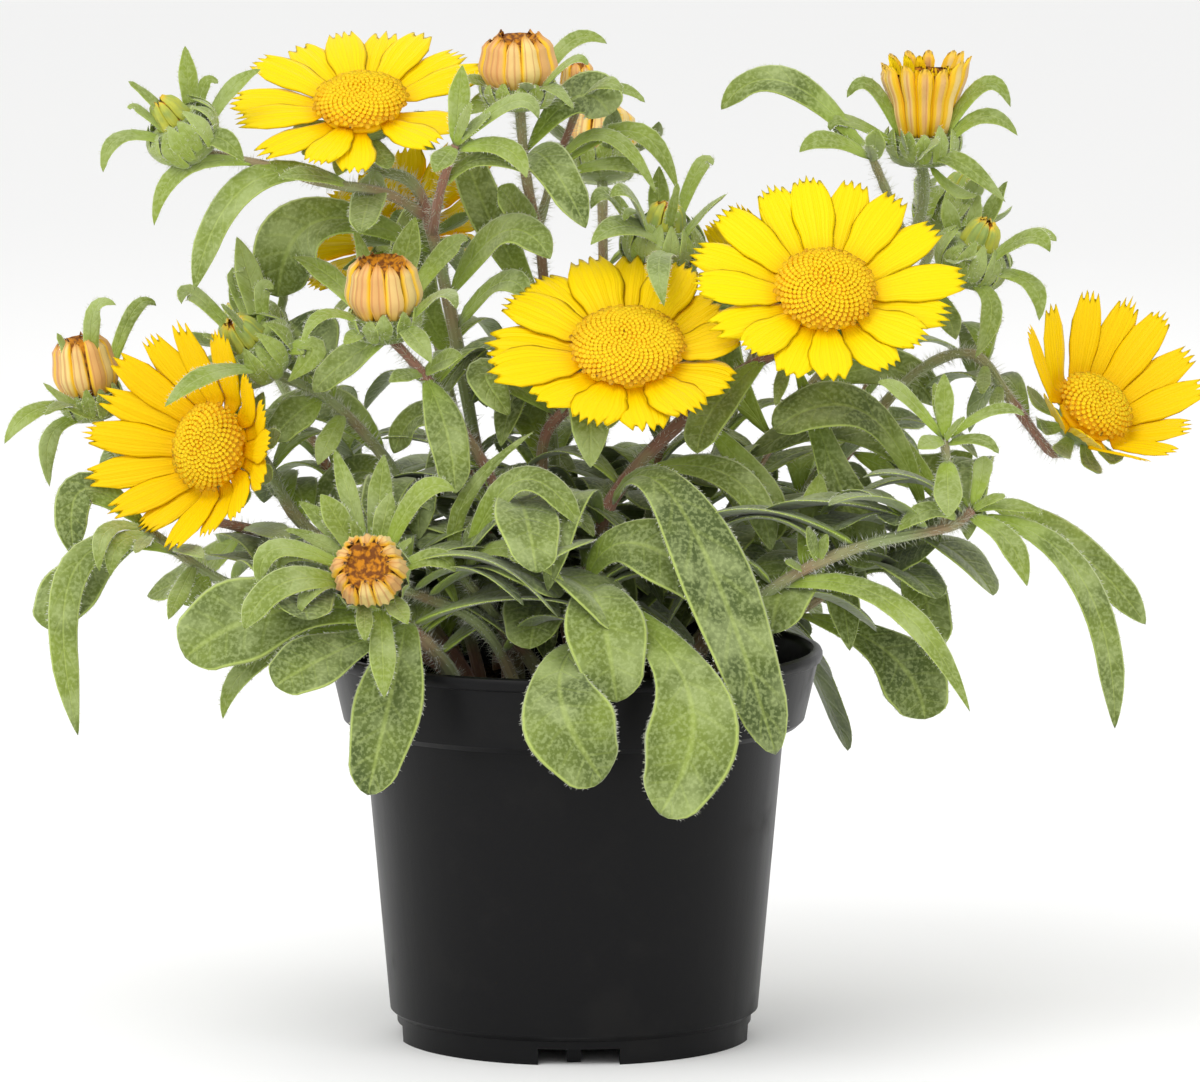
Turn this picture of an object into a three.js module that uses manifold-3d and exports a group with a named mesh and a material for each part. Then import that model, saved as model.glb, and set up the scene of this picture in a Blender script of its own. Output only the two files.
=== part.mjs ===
// A potted gold coin plant: leafy stems with yellow daisies and buds in a black nursery pot.
// Units are millimetres and +Z is up. The origin is the middle of the ribs that the pot stands on.
import * as THREE from "three";
import { mergeVertices } from "three/addons/utils/BufferGeometryUtils.js";
import Module from "manifold-3d";

const wasm = await Module();
wasm.setup();

// Driving dimensions of the pot and its soil
const potRimRadius = 52.5;
const potHeight = 83;
const rimBandHeight = 16;
const potTopRadius = 44.4;
const potFootRadius = 37.3;
const bodyFootRadius = 39;
const bandRadius = 48.7;
const footHeight = 5;
const notchWidth = 17;
const notchHeight = 3.4;
const footThickness = 2.2;
const lipWidth = 2.6;
const lipHeight = 2.2;
const ribWidth = 3;
const notchCount = 4;
const notchTurn = Math.PI / 2 + 0.03;
const drainRadius = 4;
const drainReach = 25;
const drainCount = 4;
const wall = 1.4;
const potSides = 24;
const soilTop = 74;
const soilRadius = potTopRadius - 1.9;
const stemDepth = 7;

// Sizes shared by the plant's pieces
const gap = 0.3;
const bractCount = 3;
const backBractCount = 5;
const discSides = 12;
const budSides = 12;
const cupSides = 7;
const lowerRayLift = gap + 0.75;
const upperRayLift = gap + 1.8;
const smallestDetail = 0.02;
const bladeHalfThickness = 0.6;
const rayHalfThickness = 0.45;
const stemSides = 4;

// The picture plane stands upright on the pot's axis, seen from a little above
const viewTilt = THREE.MathUtils.degToRad(7);
const viewDistance = 1800;
const sheetCentre = { across: 5.48, up: 103.6, height: 105.35 };

const colours = {
  pot: 0x141414, soil: 0x1e1912, leaf: 0x7b8a58, ray: 0xffd800, disc: 0xe0a810,
  greenBud: 0x9aa06a, paleBud: 0xebc384,
};

// The point at a chosen depth (y) that is seen at a place on the picture plane
function seen([across, up, deep]) {
  const sin = Math.sin(viewTilt);
  const cos = Math.cos(viewTilt);
  const eyeHeight = sheetCentre.height + viewDistance * sin;
  const eye = new THREE.Vector3(sheetCentre.across, -viewDistance * cos, eyeHeight);
  const rise = up - sheetCentre.up;
  const onSheet = new THREE.Vector3(across, rise * sin, sheetCentre.height + rise * cos);
  return onSheet.sub(eye).multiplyScalar((deep - eye.y) / onSheet.y).add(eye);
}

// A place in the soil where a stem stands
const ground = (x, y) => ({ ground: [x, y] });

// The open flowers: centre of the disc, way it faces, ray length, disc radius, rise of the rays
// at their tips, width of a ray, and the place where each ray's tip is seen
const blooms = {
  bloom_upper_left: {
    at: [-45, 196.3, 2], faces: [-0.05, -0.53, 0.848], reach: 27, disc: 9.5, rise: 0.02, ray: 8.6,
    tips: [
      [-74, 201.5], [-67, 209], [-58, 211.5], [-51, 213], [-43, 211], [-37, 216], [-27, 215],
      [-19.5, 211], [-27.5, 193], [-40, 191.5], [-48, 188.5], [-55, 184.5], [-70, 187.5], [-71.5, 195],
    ],
  },
  bloom_right: {
    at: [53, 156.5, -22], faces: [0.04, -0.743, 0.669], reach: 28, disc: 10.2, rise: 0.08, ray: 9,
    tips: [
      [40, 183], [49, 183.5], [58.5, 181.5], [66, 178.5], [77, 174], [83, 158.5], [80, 151.5],
      [76, 147], [65, 144], [52, 137], [43.5, 141], [35, 145.5], [27.5, 149.5], [25, 159],
      [24.5, 167.5], [28.5, 174],
    ],
  },
  bloom_centre: {
    at: [11.2, 144.5, -25], faces: [0, -0.616, 0.788], reach: 28, disc: 11.6, rise: 0.05, ray: 11.5,
    tips: [
      [-21, 148.5], [-20.5, 143.5], [-16.5, 158.5], [-12, 161.5], [-5, 165], [6.5, 164], [17, 162],
      [27, 156], [35, 148], [31, 137], [22.5, 129.5], [13, 126.5], [3, 131], [-7.5, 136.5],
    ],
  },
  bloom_left: {
    at: [-76.5, 123.4, -10], faces: [-0.589, -0.781, 0.208], reach: 24, disc: 9, rise: 0.5, ray: 7.2,
    tips: [
      [-91, 147], [-85, 149.5], [-78, 149], [-98, 141], [-100.5, 134], [-103.5, 127], [-102, 118],
      [-97.5, 110], [-93, 107], [-85, 101.5], [-76.5, 108], [-69, 109.5], [-64, 117], [-61.5, 122],
      [-64, 131], [-67, 134],
    ],
  },
  bloom_far_right: {
    at: [109.6, 131.7, 0], faces: [0.45, -0.6, 0.66], reach: 23, disc: 8, rise: 0.6, ray: 7.4,
    tips: [
      [95.5, 151], [104, 154], [115, 152], [119, 148], [123, 146.5], [127.5, 142], [130, 138.5],
      [129.5, 132.5], [127.5, 124.5], [123, 119.5], [109.5, 121.5], [96, 129],
    ],
  },
  bloom_back_left: {
    world: [-38, 52, 168], faces: [-0.35, 0.62, 0.7], reach: 26, disc: 9.5, rise: 0.1, ray: 8.8,
    count: 14,
  },
  bloom_back_right: {
    world: [46, 60, 152], faces: [0.4, 0.66, 0.64], reach: 25, disc: 9.2, rise: 0.2, ray: 8.4,
    count: 14,
  },
};

// The buds: foot and tip of each, its radius, and the share of its length that the green cup takes
const buds = {
  bud_a: { foot: [-78.5, 184.5, -8], tip: [-88, 197, -12], radius: 7.2, cup: 0.62, form: "tight" },
  bud_b: { foot: [-39.5, 146, -12], tip: [-40.7, 164, -16], radius: 7.4, cup: 0.32, form: "cone" },
  bud_c: { foot: [-64, 139, -3], tip: [-72.5, 150.5, -10], radius: 8, cup: 0.62, form: "tight" },
  bud_d: { foot: [-101, 129, 12], tip: [-104.5, 147.5, 10], radius: 6.4, cup: 0.32, form: "cone" },
  bud_e: { foot: [-11.5, 194.5, 4], tip: [-12, 211, 2], radius: 7.6, cup: 0.32, form: "cone" },
  bud_f: { foot: [1, 194, 14], tip: [0.6, 205, 14], radius: 3.4, cup: 0.36, form: "cone" },
  bud_h: { foot: [17.5, 160, 8], tip: [20, 175.5, 4], radius: 8, cup: 0.66, form: "tight" },
  bud_i: { foot: [73.5, 182.5, 16], tip: [73.5, 206, 14], radius: 7.8, cup: 0.3, form: "flare" },
  bud_k: { foot: [81.5, 158, 8], tip: [87.5, 171.5, 4], radius: 7.5, cup: 0.62, form: "tight" },
  bud_m: { foot: [-42, 95, -36], tip: [-44, 99, -51], radius: 7.4, cup: 0.4, form: "cone" },
  bud_back_left: {
    world: [-66, 44, 140], lean: [-0.5, 0.5, 0.7], length: 16, radius: 7.2, cup: 0.62, form: "tight",
  },
  bud_back_middle: {
    world: [6, 66, 176], lean: [0, 0.35, 0.93], length: 17, radius: 7.2, cup: 0.34, form: "cone",
  },
  bud_back_right: {
    world: [78, 44, 166], lean: [0.4, 0.4, 0.8], length: 16, radius: 7, cup: 0.6, form: "tight",
  },
};

// The leafy stems. A stem's path is a list of places and may end at a flower or a bud. A leaf is
// where it leaves, its middle if it arches much, its tip (across, up), the tip's depth, and its
// width; a middle may also have its depth
const plants = {
  stem_upper_left: {
    stems: [
      {
        radius: 1.6, path: [ground(-12, 8), [-20, 120, 8], [-29, 165, 5], [-34, 179, 5]],
        to: "bloom_upper_left",
      },
      { radius: 1.3, path: [[-31, 172, 5], [-40, 177, -1], [-52, 179, -5], [-66, 183, -8]], to: "bud_a" },
      { radius: 1.2, path: [[-30, 168, 5], [-28, 178, -5], [-25, 187, -9]] },
    ],
    leaves: [
      [-82, 198, -82, 208, -6, 4], [-89, 190, -95, 190.5, -99, 185.7, -14, 3.5],
      [-79, 196, -78, 199.5, -75, 200, -6, 3], [-79, 186, -75, 188.5, -69.5, 183.5, -15, 5],
      [-66, 182, -82, 182, -88.5, 170, -16, 4], [-71.5, 190, -73, 198, -66, 203, -4, 3.5],
      [-48, 177, -62.5, 180, -15, 4.5], [-47, 175, -68, 179, -80, 156.5, -18, 6.5],
      [-42, 182, -45, 168.5, -16, 7], [-42, 162, -53, 171, -62.5, 155, 10, 13],
      [-26, 193, -23.5, 204, -9, 4.5], [-22, 191, -17.5, 193.5, -12, 3],
      [-18, 190, -13, 196, -7.5, 192.5, -14, 4.5], [-27, 190, -29.5, 181.3, -17, 5],
      [-22, 184, -15, 186.5, -10, 180, -15, 5], [-30, 178, -20, 184, -10, 181, -12, 4],
      [-25, 155, -15, 168.5, -5, 163, -10, 8.5], [-29, 150, -15, 158, -9, 152, -14, 6],
      [-22, 140, -34, 160, -30, 176, 26, 9], [-20, 130, -2, 146, 6, 140, 22, 9],
    ],
  },
  stem_top: {
    stems: [
      { radius: 1.4, path: [ground(0, 10), [-5, 130, 12], [-7, 165, 8], [-10, 180, 6]], to: "bud_e" },
      { radius: 1.1, path: [[-8, 168, 8], [-4, 182, 12]], to: "bud_f" },
    ],
    leaves: [
      [-10, 200, -10, 204.5, -6, 3], [-4, 202, -1, 208, 7, 207.8, 6, 4],
      [-4, 201, -1, 205, 3, 204.5, -3, 3], [-13, 200, -17, 204, -24, 200.5, -4, 5],
      [-20, 202, -24, 205, 8, 3], [-8, 198, -5, 201, 0, 199, -7, 3],
      [2, 199, 6, 200.5, 10.5, 199, 10, 4], [5, 197, 9, 199, 15, 196, 13, 3],
      [-10, 185, 0, 197, 7.5, 194, 16, 10], [-20, 180, -6, 184, 2.5, 169.5, -12, 9],
      [-17, 162, -16, 178, -3, 7], [-3, 183, 7, 189, 17.5, 176.5, 3, 4],
      [0, 180, 12, 190, 22, 177, 10, 5], [2, 178, 8, 183, 15, 180.5, 6, 3.5],
      [-7, 150, -18, 172, -24, 190, 24, 8], [-6, 140, 14, 158, 26, 160, 28, 9],
    ],
  },
  stem_green_bud: {
    stems: [{ radius: 1.4, path: [ground(9, 8), [18, 120, 15], [20, 145, 15]], to: "bud_h" }],
    leaves: [
      [19, 176, 18, 182, 5, 4.5], [16, 172, 12, 177, 7.5, 177, -2, 4.5],
      [16, 170, 13, 172.5, 10.5, 171, -8, 3], [24, 176, 26, 180, 29.5, 181.5, 5, 3.5],
      [28, 173, 32, 178, 3, 3], [27, 161, 12, 170, 3.5, 166.5, -8, 6],
      [25, 160, 18, 160, 19, 150, -26, 5], [12, 170, 8, 176, 3.5, 173.5, -6, 4],
      [20, 140, 36, 156, 46, 150, 14, 9], [20, 130, 6, 146, -6, 138, 28, 8],
    ],
  },
  stem_upper_right: {
    stems: [
      { radius: 1.6, path: [ground(18, 12), [40, 122, 18], [62, 152, 22], [73, 172, 20]], to: "bud_i" },
      { radius: 1.2, path: [[70, 166, 20], [66, 177, 12], [63, 184, 8]] },
      { radius: 1.2, path: [[64, 154, 21], [74, 154, 15]], to: "bud_k" },
    ],
    leaves: [
      [63, 191, 63, 199, 57.5, 197, 9, 3.5], [63, 190, 58, 192, 54, 190, 8, 3.2],
      [82, 194, 86, 199.5, 92, 195, 12, 4], [80, 188, 86, 193, 93.5, 189, 10, 4],
      [70, 184, 69, 190, 5, 4], [70, 180, 77, 187.5, 3, 5], [60, 183, 54, 188, 47.5, 185.5, 2, 4.5],
      [60, 184, 54.5, 190.5, 10, 4], [64, 184, 64, 190.5, 3, 4.5],
      [53, 178, 45, 200, 31, 194.5, 14, 6.5], [72, 177, 80, 184, 91, 175, 6, 4.5],
      [76, 178, 80, 177.5, 85, 176.5, 10, 3], [89, 172, 92, 178.5, 5, 3.5],
      [85, 173, 85.5, 176.5, 9, 3], [81, 168, 78, 176, 9, 4], [91, 167, 96, 171, 102, 170.3, 4, 3.5],
      [91, 164, 95, 168, 100, 165, -3, 4.5], [83, 168, 84, 163, -5, 3], [79, 167, 80, 162, -5, 3],
      [90, 157, 96, 158, 98, 150, -5, 4], [82, 155, 88, 153, 84.5, 142, -6, 4.5],
      [78, 154, 80.5, 146, 6, 5], [50, 138, 66, 140, 76, 132, 16, 9],
      [56, 146, 46, 168, 52, 176, 30, 8], [42, 126, 30, 146, 36, 160, 30, 9],
    ],
  },
  stem_far_right: {
    stems: [
      {
        radius: 1.4, path: [ground(22, 2), [50, 112, 10], [72, 139, 12], [84, 143, 8], [93, 132, 4]],
        to: "bloom_far_right",
      },
    ],
    leaves: [
      [86, 140, 86, 134.5, -5, 3], [89, 137, 88.5, 130.5, -4, 3], [60, 124, 72, 118, 84, 122, 16, 8],
      [54, 118, 62, 128, 74, 128, 34, 8],
    ],
  },
  stem_right: {
    stems: [
      {
        radius: 1.7, path: [ground(9, -8), [6, 108, -19], [25, 131, -13], [40, 142, -10]],
        to: "bloom_right",
      },
    ],
    leaves: [
      [42, 140, 30, 132, 26, 122, -26, 8], [47, 143, 42.5, 132, -22, 3],
      [46, 140, 56, 115, 62.5, 98, -24, 10], [24, 108, 33, 117, 41.5, 101.5, -30, 7],
      [34, 124, 40, 112, 38, 104, -22, 8], [5, 109, 22, 111, 42.5, 58.5, -55, 13],
    ],
  },
  stem_centre: {
    stems: [
      {
        radius: 1.5, path: [ground(0, -6), [-5, 104, -8], [-6, 126, -8], [2, 133, -12]],
        to: "bloom_centre",
      },
    ],
    leaves: [
      [-10, 134, 2, 136, 3.5, 119, -34, 9], [-8, 135, -18, 139, -13.5, 130, -20, 8],
      [-5, 118, -10, 130, -16, 126, 4, 8],
    ],
  },
  stem_salmon_bud: {
    stems: [
      {
        radius: 1.4, path: [ground(-14, -8), [-15, 110, -14], [-24, 128, -15], [-32, 139, -15]],
        to: "bud_b",
      },
    ],
    leaves: [
      [-48, 158, -60, 162, -14, 5], [-47, 152, -52, 155, -57, 154, -20, 3],
      [-46, 149.5, -48.5, 145, -21, 3.5], [-36, 164, -33.5, 171.5, -10, 6],
      [-44, 164, -46.5, 169, -10, 3], [-32, 160, -28, 163, -22.5, 166, -12, 4.5],
      [-31, 152.5, -28, 156, -24.5, 154, -17, 3.5], [-37, 150, -34, 147, -30, 141, -25, 5],
      [-31, 139, -39, 137, -22, 4], [-31, 139, -23.5, 142.5, -21, 5],
      [-31, 139, -27, 127, -25, 113.5, -28, 8], [-38, 141, -55, 135, -14, 7],
      [-22, 126, -32, 130, -38, 122, -6, 7],
    ],
  },
  stem_green_left: {
    stems: [{ radius: 1.5, path: [ground(-20, 0), [-34, 112, 2], [-50, 132, -2]], to: "bud_c" }],
    leaves: [
      [-68, 152, -71.5, 167, -6, 5.5], [-68.5, 152, -72, 156, -70, 159, -15, 3],
      [-75, 150, -80, 153.5, -83.5, 152, -14, 4], [-67, 151, -66, 155, -63.5, 156, -10, 3.5],
      [-64, 136, -76, 139.5, -86, 132.5, -24, 4.5], [-77, 142, -81, 138.5, -18, 4],
      [-52, 136, -64, 124, -13, 8], [-50, 128, -54, 119.5, -15, 5],
      [-46, 145, -55, 144, -60.5, 137, -12, 6], [-55, 137, -54, 139, -51, 134, -16, 5],
      [-48, 138, -60, 150, 10, 14], [-40, 120, -52, 132, -66, 128, 20, 9],
      [-36, 114, -46, 118, -54, 108, 12, 9],
    ],
  },
  stem_left: {
    stems: [
      { radius: 1.6, path: [ground(-22, -8), [-42, 97, -5], [-58, 108, 0]], to: "bloom_left" },
      { radius: 1.3, path: [[-48, 101, -3], [-68, 106, 9], [-88, 112, 15]], to: "bud_d" },
    ],
    leaves: [
      [-99, 145, -101.5, 150, -96.5, 153.3, 2, 4], [-95.5, 142, -94, 150, -88.5, 152.3, 20, 3.5],
      [-107, 135.5, -113, 139.5, -119.5, 133, 6, 4], [-108, 137, -111, 139, 4, 3],
      [-98, 129.5, -104, 131, -112, 137, 3, 3], [-103, 128, -110, 126, -110.5, 115, 5, 4],
      [-68, 107, -60, 103.5, -22, 6], [-80, 110, -90, 122, -100, 118, 26, 8],
      [-70, 106, -78, 98, -90, 92, 26, 8],
    ],
  },
  shoot_left: {
    stems: [{ radius: 1.5, path: [ground(-24, -16), [-52, 88, -15], [-74, 95, -11], [-90, 106, -7]] }],
    leaves: [
      [-90, 112, -104, 113, -106, 98.5, -24, 8], [-92, 104, -102, 97, -111, 85, -22, 11],
      [-92, 107, -98, 106, -100, 97, -29, 4], [-85, 105, -95, 105, -98, 99.5, -32, 5],
      [-92, 107, -92.5, 101, -28, 3], [-84, 99, -105, 98, -104.5, 62.5, -34, 6.5],
      [-80, 100, -85.5, 87, -30, 4], [-77, 110, -78, 100, -27, 4], [-75, 101, -82, 90, -12, 8],
    ],
  },
  shoot_right: {
    stems: [
      {
        radius: 1.5,
        path: [ground(20, -18), [44, 95, -34], [62, 103, -37], [80, 107, -35], [84, 110, -34]],
      },
      { radius: 1.2, path: [[78, 106.5, -35], [79, 116, -33], [78, 125, -32]] },
    ],
    leaves: [
      [79, 127, 78, 139, -30, 4], [77, 127, 72.5, 123, -38, 4],
      [80, 124, 85, 125, 89.5, 122, -38, 3.2], [75, 126, 70, 134, 64, 137, -36, 3.5],
      [82, 126, 88, 131, 95, 130, -30, 3], [79, 121, 79, 108.5, -44, 6],
      [84, 110, 86, 118, 86, 121.5, -30, 4], [82, 107, 75, 110, 68, 105.5, -42, 4.5],
      [84, 107, 91, 104, 95.5, 94, -40, 5.5], [88, 108, 99, 109.5, -32, 3.2],
      [46, 99, 52, 118, -20, 6], [49, 101, 49, 106.5, -42, 2.8], [45, 92, 66, 91, 83.5, 67.5, -52, 6],
      [86, 105, 106, 97, 114, 64, -30, 6.5],
    ],
  },
  shoot_low_right: {
    stems: [{ radius: 1.6, path: [ground(28, -8), [52, 92, -8], [72, 104, -12], [86, 113, -14]] }],
    leaves: [
      [93, 117, 104, 103, 120.5, 86, -16, 8], [73, 108, 62, 130, 42, 127, -19, 10],
      [78, 112, 60, 127, 36, 121, 0, 8], [60, 96, 77, 103, -28, 14], [70, 102, 77, 80.5, -22, 9],
      [46, 88, 66, 80, 74, 66, -14, 12],
    ],
  },
  stem_low_bud: {
    stems: [{ radius: 1.5, path: [ground(-12, -24), [-20, 86, -31], [-32, 92, -32]], to: "bud_m" }],
    leaves: [
      [-49, 103, -53.5, 113.5, -36, 5.5], [-41, 105, -38.5, 114, -34, 4.5],
      [-35, 98, -30, 100, -25, 97, -42, 4.5], [-50, 101, -57.5, 104.5, -38, 3.5],
      [-50, 99, -58, 101, -62, 97, -42, 4], [-53, 100, -62, 102, -66, 93, -46, 5],
      [-49, 94, -54, 94, -58, 88, -50, 4], [-47, 92, -60, 95, -69.5, 85, -54, 6.5],
      [-46, 91, -44, 82.5, -54, 3.5], [-40, 90, -40, 70.5, -58, 5.5], [-39, 91, -35, 86, -50, 4.5],
      [-52, 104, -58, 112, -30, 4], [-36, 104, -33, 113, -25, 114, -36, 5],
      [-46, 106, -50.5, 123, -28, 4], [-42, 106, -40, 122, -24, 5],
    ],
  },
  rosette_front: {
    stems: [{ radius: 2, path: [ground(4, -30), [2, 88, -33], [3, 98, -32]] }],
    leaves: [
      [27, 91, 24, 72, -56, 18, 46, -62, 16], [-11, 81, -3, 70, -57, 6, 49.5, -61, 16],
      [-6, 88, 5, 91, 9, 70, -52, 14], [-5, 94, 12, 103, 30, 92, -42, 13],
    ],
  },
  rosette_front_left: {
    stems: [{ radius: 1.8, path: [ground(-6, -18), [-17, 88, -26], [-24, 97, -29]] }],
    leaves: [
      [-18, 86, -25, 107, -8, 127, -26, 3.5], [-22, 103, -12, 116, 1.5, 106.5, -40, 7],
      [-28, 94, -15, 102, -2, 95, -46, 5], [-20, 99, -12, 104, -7, 101, -36, 4],
    ],
  },
  rosette_left: {
    stems: [{ radius: 2, path: [ground(-24, -26), [-31, 82, -35], [-36, 86, -36]] }],
    leaves: [
      [-40, 88, -60, 89, -82, 79, -44, 16], [-40, 84, -50, 80, -63, 73, -54, 11],
      [-40, 84, -64, 80, -74, 66, -38, 5.5], [-33, 90, -37, 78, -43.5, 50, -52, 12],
    ],
  },
};

// The stems on the far side, which the rule below clothes with leaves
const backPlants = {
  stem_back_left: { from: [-14, 20], through: [-26, 40, 128], to: "bloom_back_left", leaves: 7 },
  stem_back_left_bud: { from: [-24, 12], through: [-50, 32, 112], to: "bud_back_left", leaves: 6 },
  stem_back_middle: { from: [2, 24], through: [6, 52, 130], to: "bud_back_middle", leaves: 8 },
  stem_back_right: { from: [14, 22], through: [32, 46, 122], to: "bloom_back_right", leaves: 7 },
  stem_back_right_bud: { from: [26, 14], through: [60, 38, 128], to: "bud_back_right", leaves: 7 },
  rosette_back_left: { from: [-16, 30], height: 90, leaves: 6, turn: 2.4 },
  rosette_back_right: { from: [20, 30], height: 90, leaves: 6, turn: 0.8 },
};

// The bends that a leaf tries in turn until it is clear of the other pieces: how far its tip moves
// to the back and up, and the share of that by which its middle moves
const tipMoves = [
  [0, 0], [-3, 0], [3, 0], [-6, 0], [6, 0], [0, 3], [0, -3], [-4, 4], [4, 4], [-9, 0], [9, 0],
  [-5, -4], [5, -4], [-12, 0], [12, 0], [0, 6], [0, -6], [-7, 7], [7, 7], [-16, 0], [16, 0],
  [-9, -8], [9, -8],
];
const middleShares = [0.4, 0.95];
const bends = middleShares.flatMap((share) => tipMoves.map((move) => [...move, share]));

// A closed solid from its corners and faces, turned to face outwards
function solidOf(corners, faces) {
  let volume = 0;
  for (const [a, b, c] of faces) {
    volume += corners[a].dot(new THREE.Vector3().crossVectors(corners[b], corners[c]));
  }
  const vertProperties = new Float32Array(corners.flatMap((corner) => corner.toArray()));
  const triVerts = new Uint32Array(faces.flatMap(([a, b, c]) => (volume < 0 ? [a, c, b] : [a, b, c])));
  return new wasm.Manifold(new wasm.Mesh({ numProp: 3, vertProperties, triVerts }));
}

// A closed solid through rings of points, from a first point or ring to a last point or ring
function loft(rings, first, last) {
  const corners = rings.flat();
  const faces = [];
  const count = rings[0].length;
  for (let ring = 0; ring + 1 < rings.length; ring += 1) {
    for (let side = 0; side < count; side += 1) {
      const next = (side + 1) % count;
      const [a, b] = [ring * count + side, ring * count + next];
      const [c, d] = [a + count, b + count];
      faces.push([a, b, c], [b, d, c]);
    }
  }
  for (const [point, ring, turned] of [[first, 0, true], [last, rings.length - 1, false]]) {
    const centre = corners.length;
    corners.push(point ?? average(rings[ring]));
    for (let side = 0; side < count; side += 1) {
      const [a, b] = [ring * count + side, ring * count + ((side + 1) % count)];
      faces.push(turned ? [centre, b, a] : [centre, a, b]);
    }
  }
  return solidOf(corners, faces);
}

function average(points) {
  return points.reduce((sum, point) => sum.add(point), new THREE.Vector3()).divideScalar(points.length);
}

// A lathed or extruded geometry as a solid
function solidFromGeometry(geometry) {
  geometry.deleteAttribute("normal");
  geometry.deleteAttribute("uv");
  const merged = mergeVertices(geometry, 1e-4);
  return new wasm.Manifold(new wasm.Mesh({
    numProp: 3,
    vertProperties: new Float32Array(merged.attributes.position.array),
    triVerts: new Uint32Array(merged.index.array),
  }));
}

// A turned piece about the upright axis, from its profile of radius and height
function turned(profile, sides) {
  const points = profile.map(([radius, height]) => new THREE.Vector2(radius, height));
  const geometry = new THREE.LatheGeometry(points, sides);
  geometry.rotateX(Math.PI / 2);
  const solid = solidFromGeometry(geometry);
  return solid.volume() < 0 ? flipped(geometry) : solid;
}

function flipped(geometry) {
  const index = geometry.index.array;
  for (let corner = 0; corner < index.length; corner += 3) {
    [index[corner], index[corner + 1]] = [index[corner + 1], index[corner]];
  }
  return solidFromGeometry(geometry);
}

// A tapering tube round a line of middles
function tube(middles, radiusAt) {
  const rings = [];
  const aside = new THREE.Vector3(0, 1, 0.2);
  for (const [step, centre] of middles.entries()) {
    const along = step / (middles.length - 1);
    const way = (middles[step + 1] ?? centre).clone().sub(middles[step - 1] ?? centre).normalize();
    const right = new THREE.Vector3().crossVectors(way, aside).normalize();
    const up = new THREE.Vector3().crossVectors(right, way);
    const ring = [];
    for (let side = 0; side < stemSides; side += 1) {
      const angle = (side / stemSides) * 2 * Math.PI;
      const radius = radiusAt(along);
      const point = centre.clone().addScaledVector(right, radius * Math.cos(angle));
      ring.push(point.addScaledVector(up, radius * Math.sin(angle)));
    }
    rings.push(ring);
  }
  return loft(rings);
}

// The nursery pot: foot, tapered body, rim band and rolled lip, with ribs and drain holes below
function makePot() {
  const floorTop = footHeight + wall;
  const bandBottom = potHeight - rimBandHeight;
  const footInside = potFootRadius - footThickness;
  const outside = [
    [potFootRadius, 0], [potFootRadius + 0.3, footHeight], [bodyFootRadius, footHeight + 1.2],
    [potTopRadius, bandBottom - 0.6], [bandRadius - 1.3, bandBottom - 0.2], [bandRadius, bandBottom + 1],
    [potRimRadius - 1, potHeight - lipHeight - 0.6], [potRimRadius, potHeight - lipHeight],
    [potRimRadius, potHeight],
  ];
  const inside = [
    [potRimRadius - lipWidth, potHeight], [bandRadius - wall, bandBottom + 2.4],
    [potTopRadius - wall, bandBottom + 1], [bodyFootRadius - wall, floorTop + 2],
    [bodyFootRadius - 2 * wall, floorTop],
  ];
  const below = [[0, footHeight - wall], [footInside, footHeight - wall], [footInside, 0]];
  const shell = turned([...below, ...outside, ...inside, [0, floorTop]], potSides);
  return addFeet(shell);
}

// Ribs cross below the floor, and the foot's edge is notched where water runs out
function addFeet(shell) {
  const rib = new THREE.BoxGeometry(2 * potFootRadius - 2, ribWidth, footHeight);
  rib.translate(0, 0, footHeight / 2);
  const crossing = rib.clone().rotateZ(Math.PI / 2);
  let pot = shell.add(solidFromGeometry(rib)).add(solidFromGeometry(crossing));
  for (let notch = 0; notch < notchCount; notch += 1) {
    const block = new THREE.BoxGeometry(8, notchWidth, 2 * notchHeight);
    block.translate(potFootRadius, 0, 0);
    block.rotateZ((notch / notchCount) * 2 * Math.PI + notchTurn);
    pot = pot.subtract(solidFromGeometry(block));
  }
  for (let hole = 0; hole < drainCount; hole += 1) {
    const drain = new THREE.CylinderGeometry(drainRadius, drainRadius, 8, 6).rotateX(Math.PI / 2);
    drain.translate(drainReach, 0, footHeight);
    drain.rotateZ(((hole + 0.5) / drainCount) * 2 * Math.PI);
    pot = pot.subtract(solidFromGeometry(drain));
  }
  return pot;
}

// The soil fills the pot to below the rim and has a hole for each stem
function makeSoil(holes) {
  const bottom = footHeight + wall + gap;
  const profile = [
    [0, bottom], [bodyFootRadius - 2 * wall - gap, bottom],
    [bodyFootRadius - wall - gap - 0.2, bottom + 2.2],
    [soilRadius, soilTop - 1.4], [soilRadius - 1.4, soilTop], [0, soilTop],
  ];
  let soil = turned(profile, potSides);
  for (const [x, y, radius] of holes) {
    const hole = new THREE.CylinderGeometry(radius, radius, 2 * (stemDepth + gap), 4).rotateX(Math.PI / 2);
    hole.translate(x, y, soilTop);
    soil = soil.subtract(solidFromGeometry(hole));
  }
  return soil;
}

// A flower's own frame: the top of its green base, the way it faces, and two ways across it
function bloomFrame(bloom) {
  const facing = new THREE.Vector3(...bloom.faces).normalize();
  const centre = bloom.world ? new THREE.Vector3(...bloom.world) : seen(bloom.at);
  const origin = centre.addScaledVector(facing, -3.4);
  const right = new THREE.Vector3().crossVectors(new THREE.Vector3(0, 0, 1), facing).normalize();
  const over = new THREE.Vector3().crossVectors(facing, right);
  return { origin, facing, right, over };
}

// A point of the flower at an angle, a distance from its middle, a shift aside and a height
function onBloom(frame, angle, out, side, height) {
  const way = frame.right.clone().multiplyScalar(Math.cos(angle));
  way.addScaledVector(frame.over, Math.sin(angle));
  const aside = new THREE.Vector3().crossVectors(frame.facing, way);
  return frame.origin.clone().addScaledVector(way, out).addScaledVector(aside, side)
    .addScaledVector(frame.facing, height);
}

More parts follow.
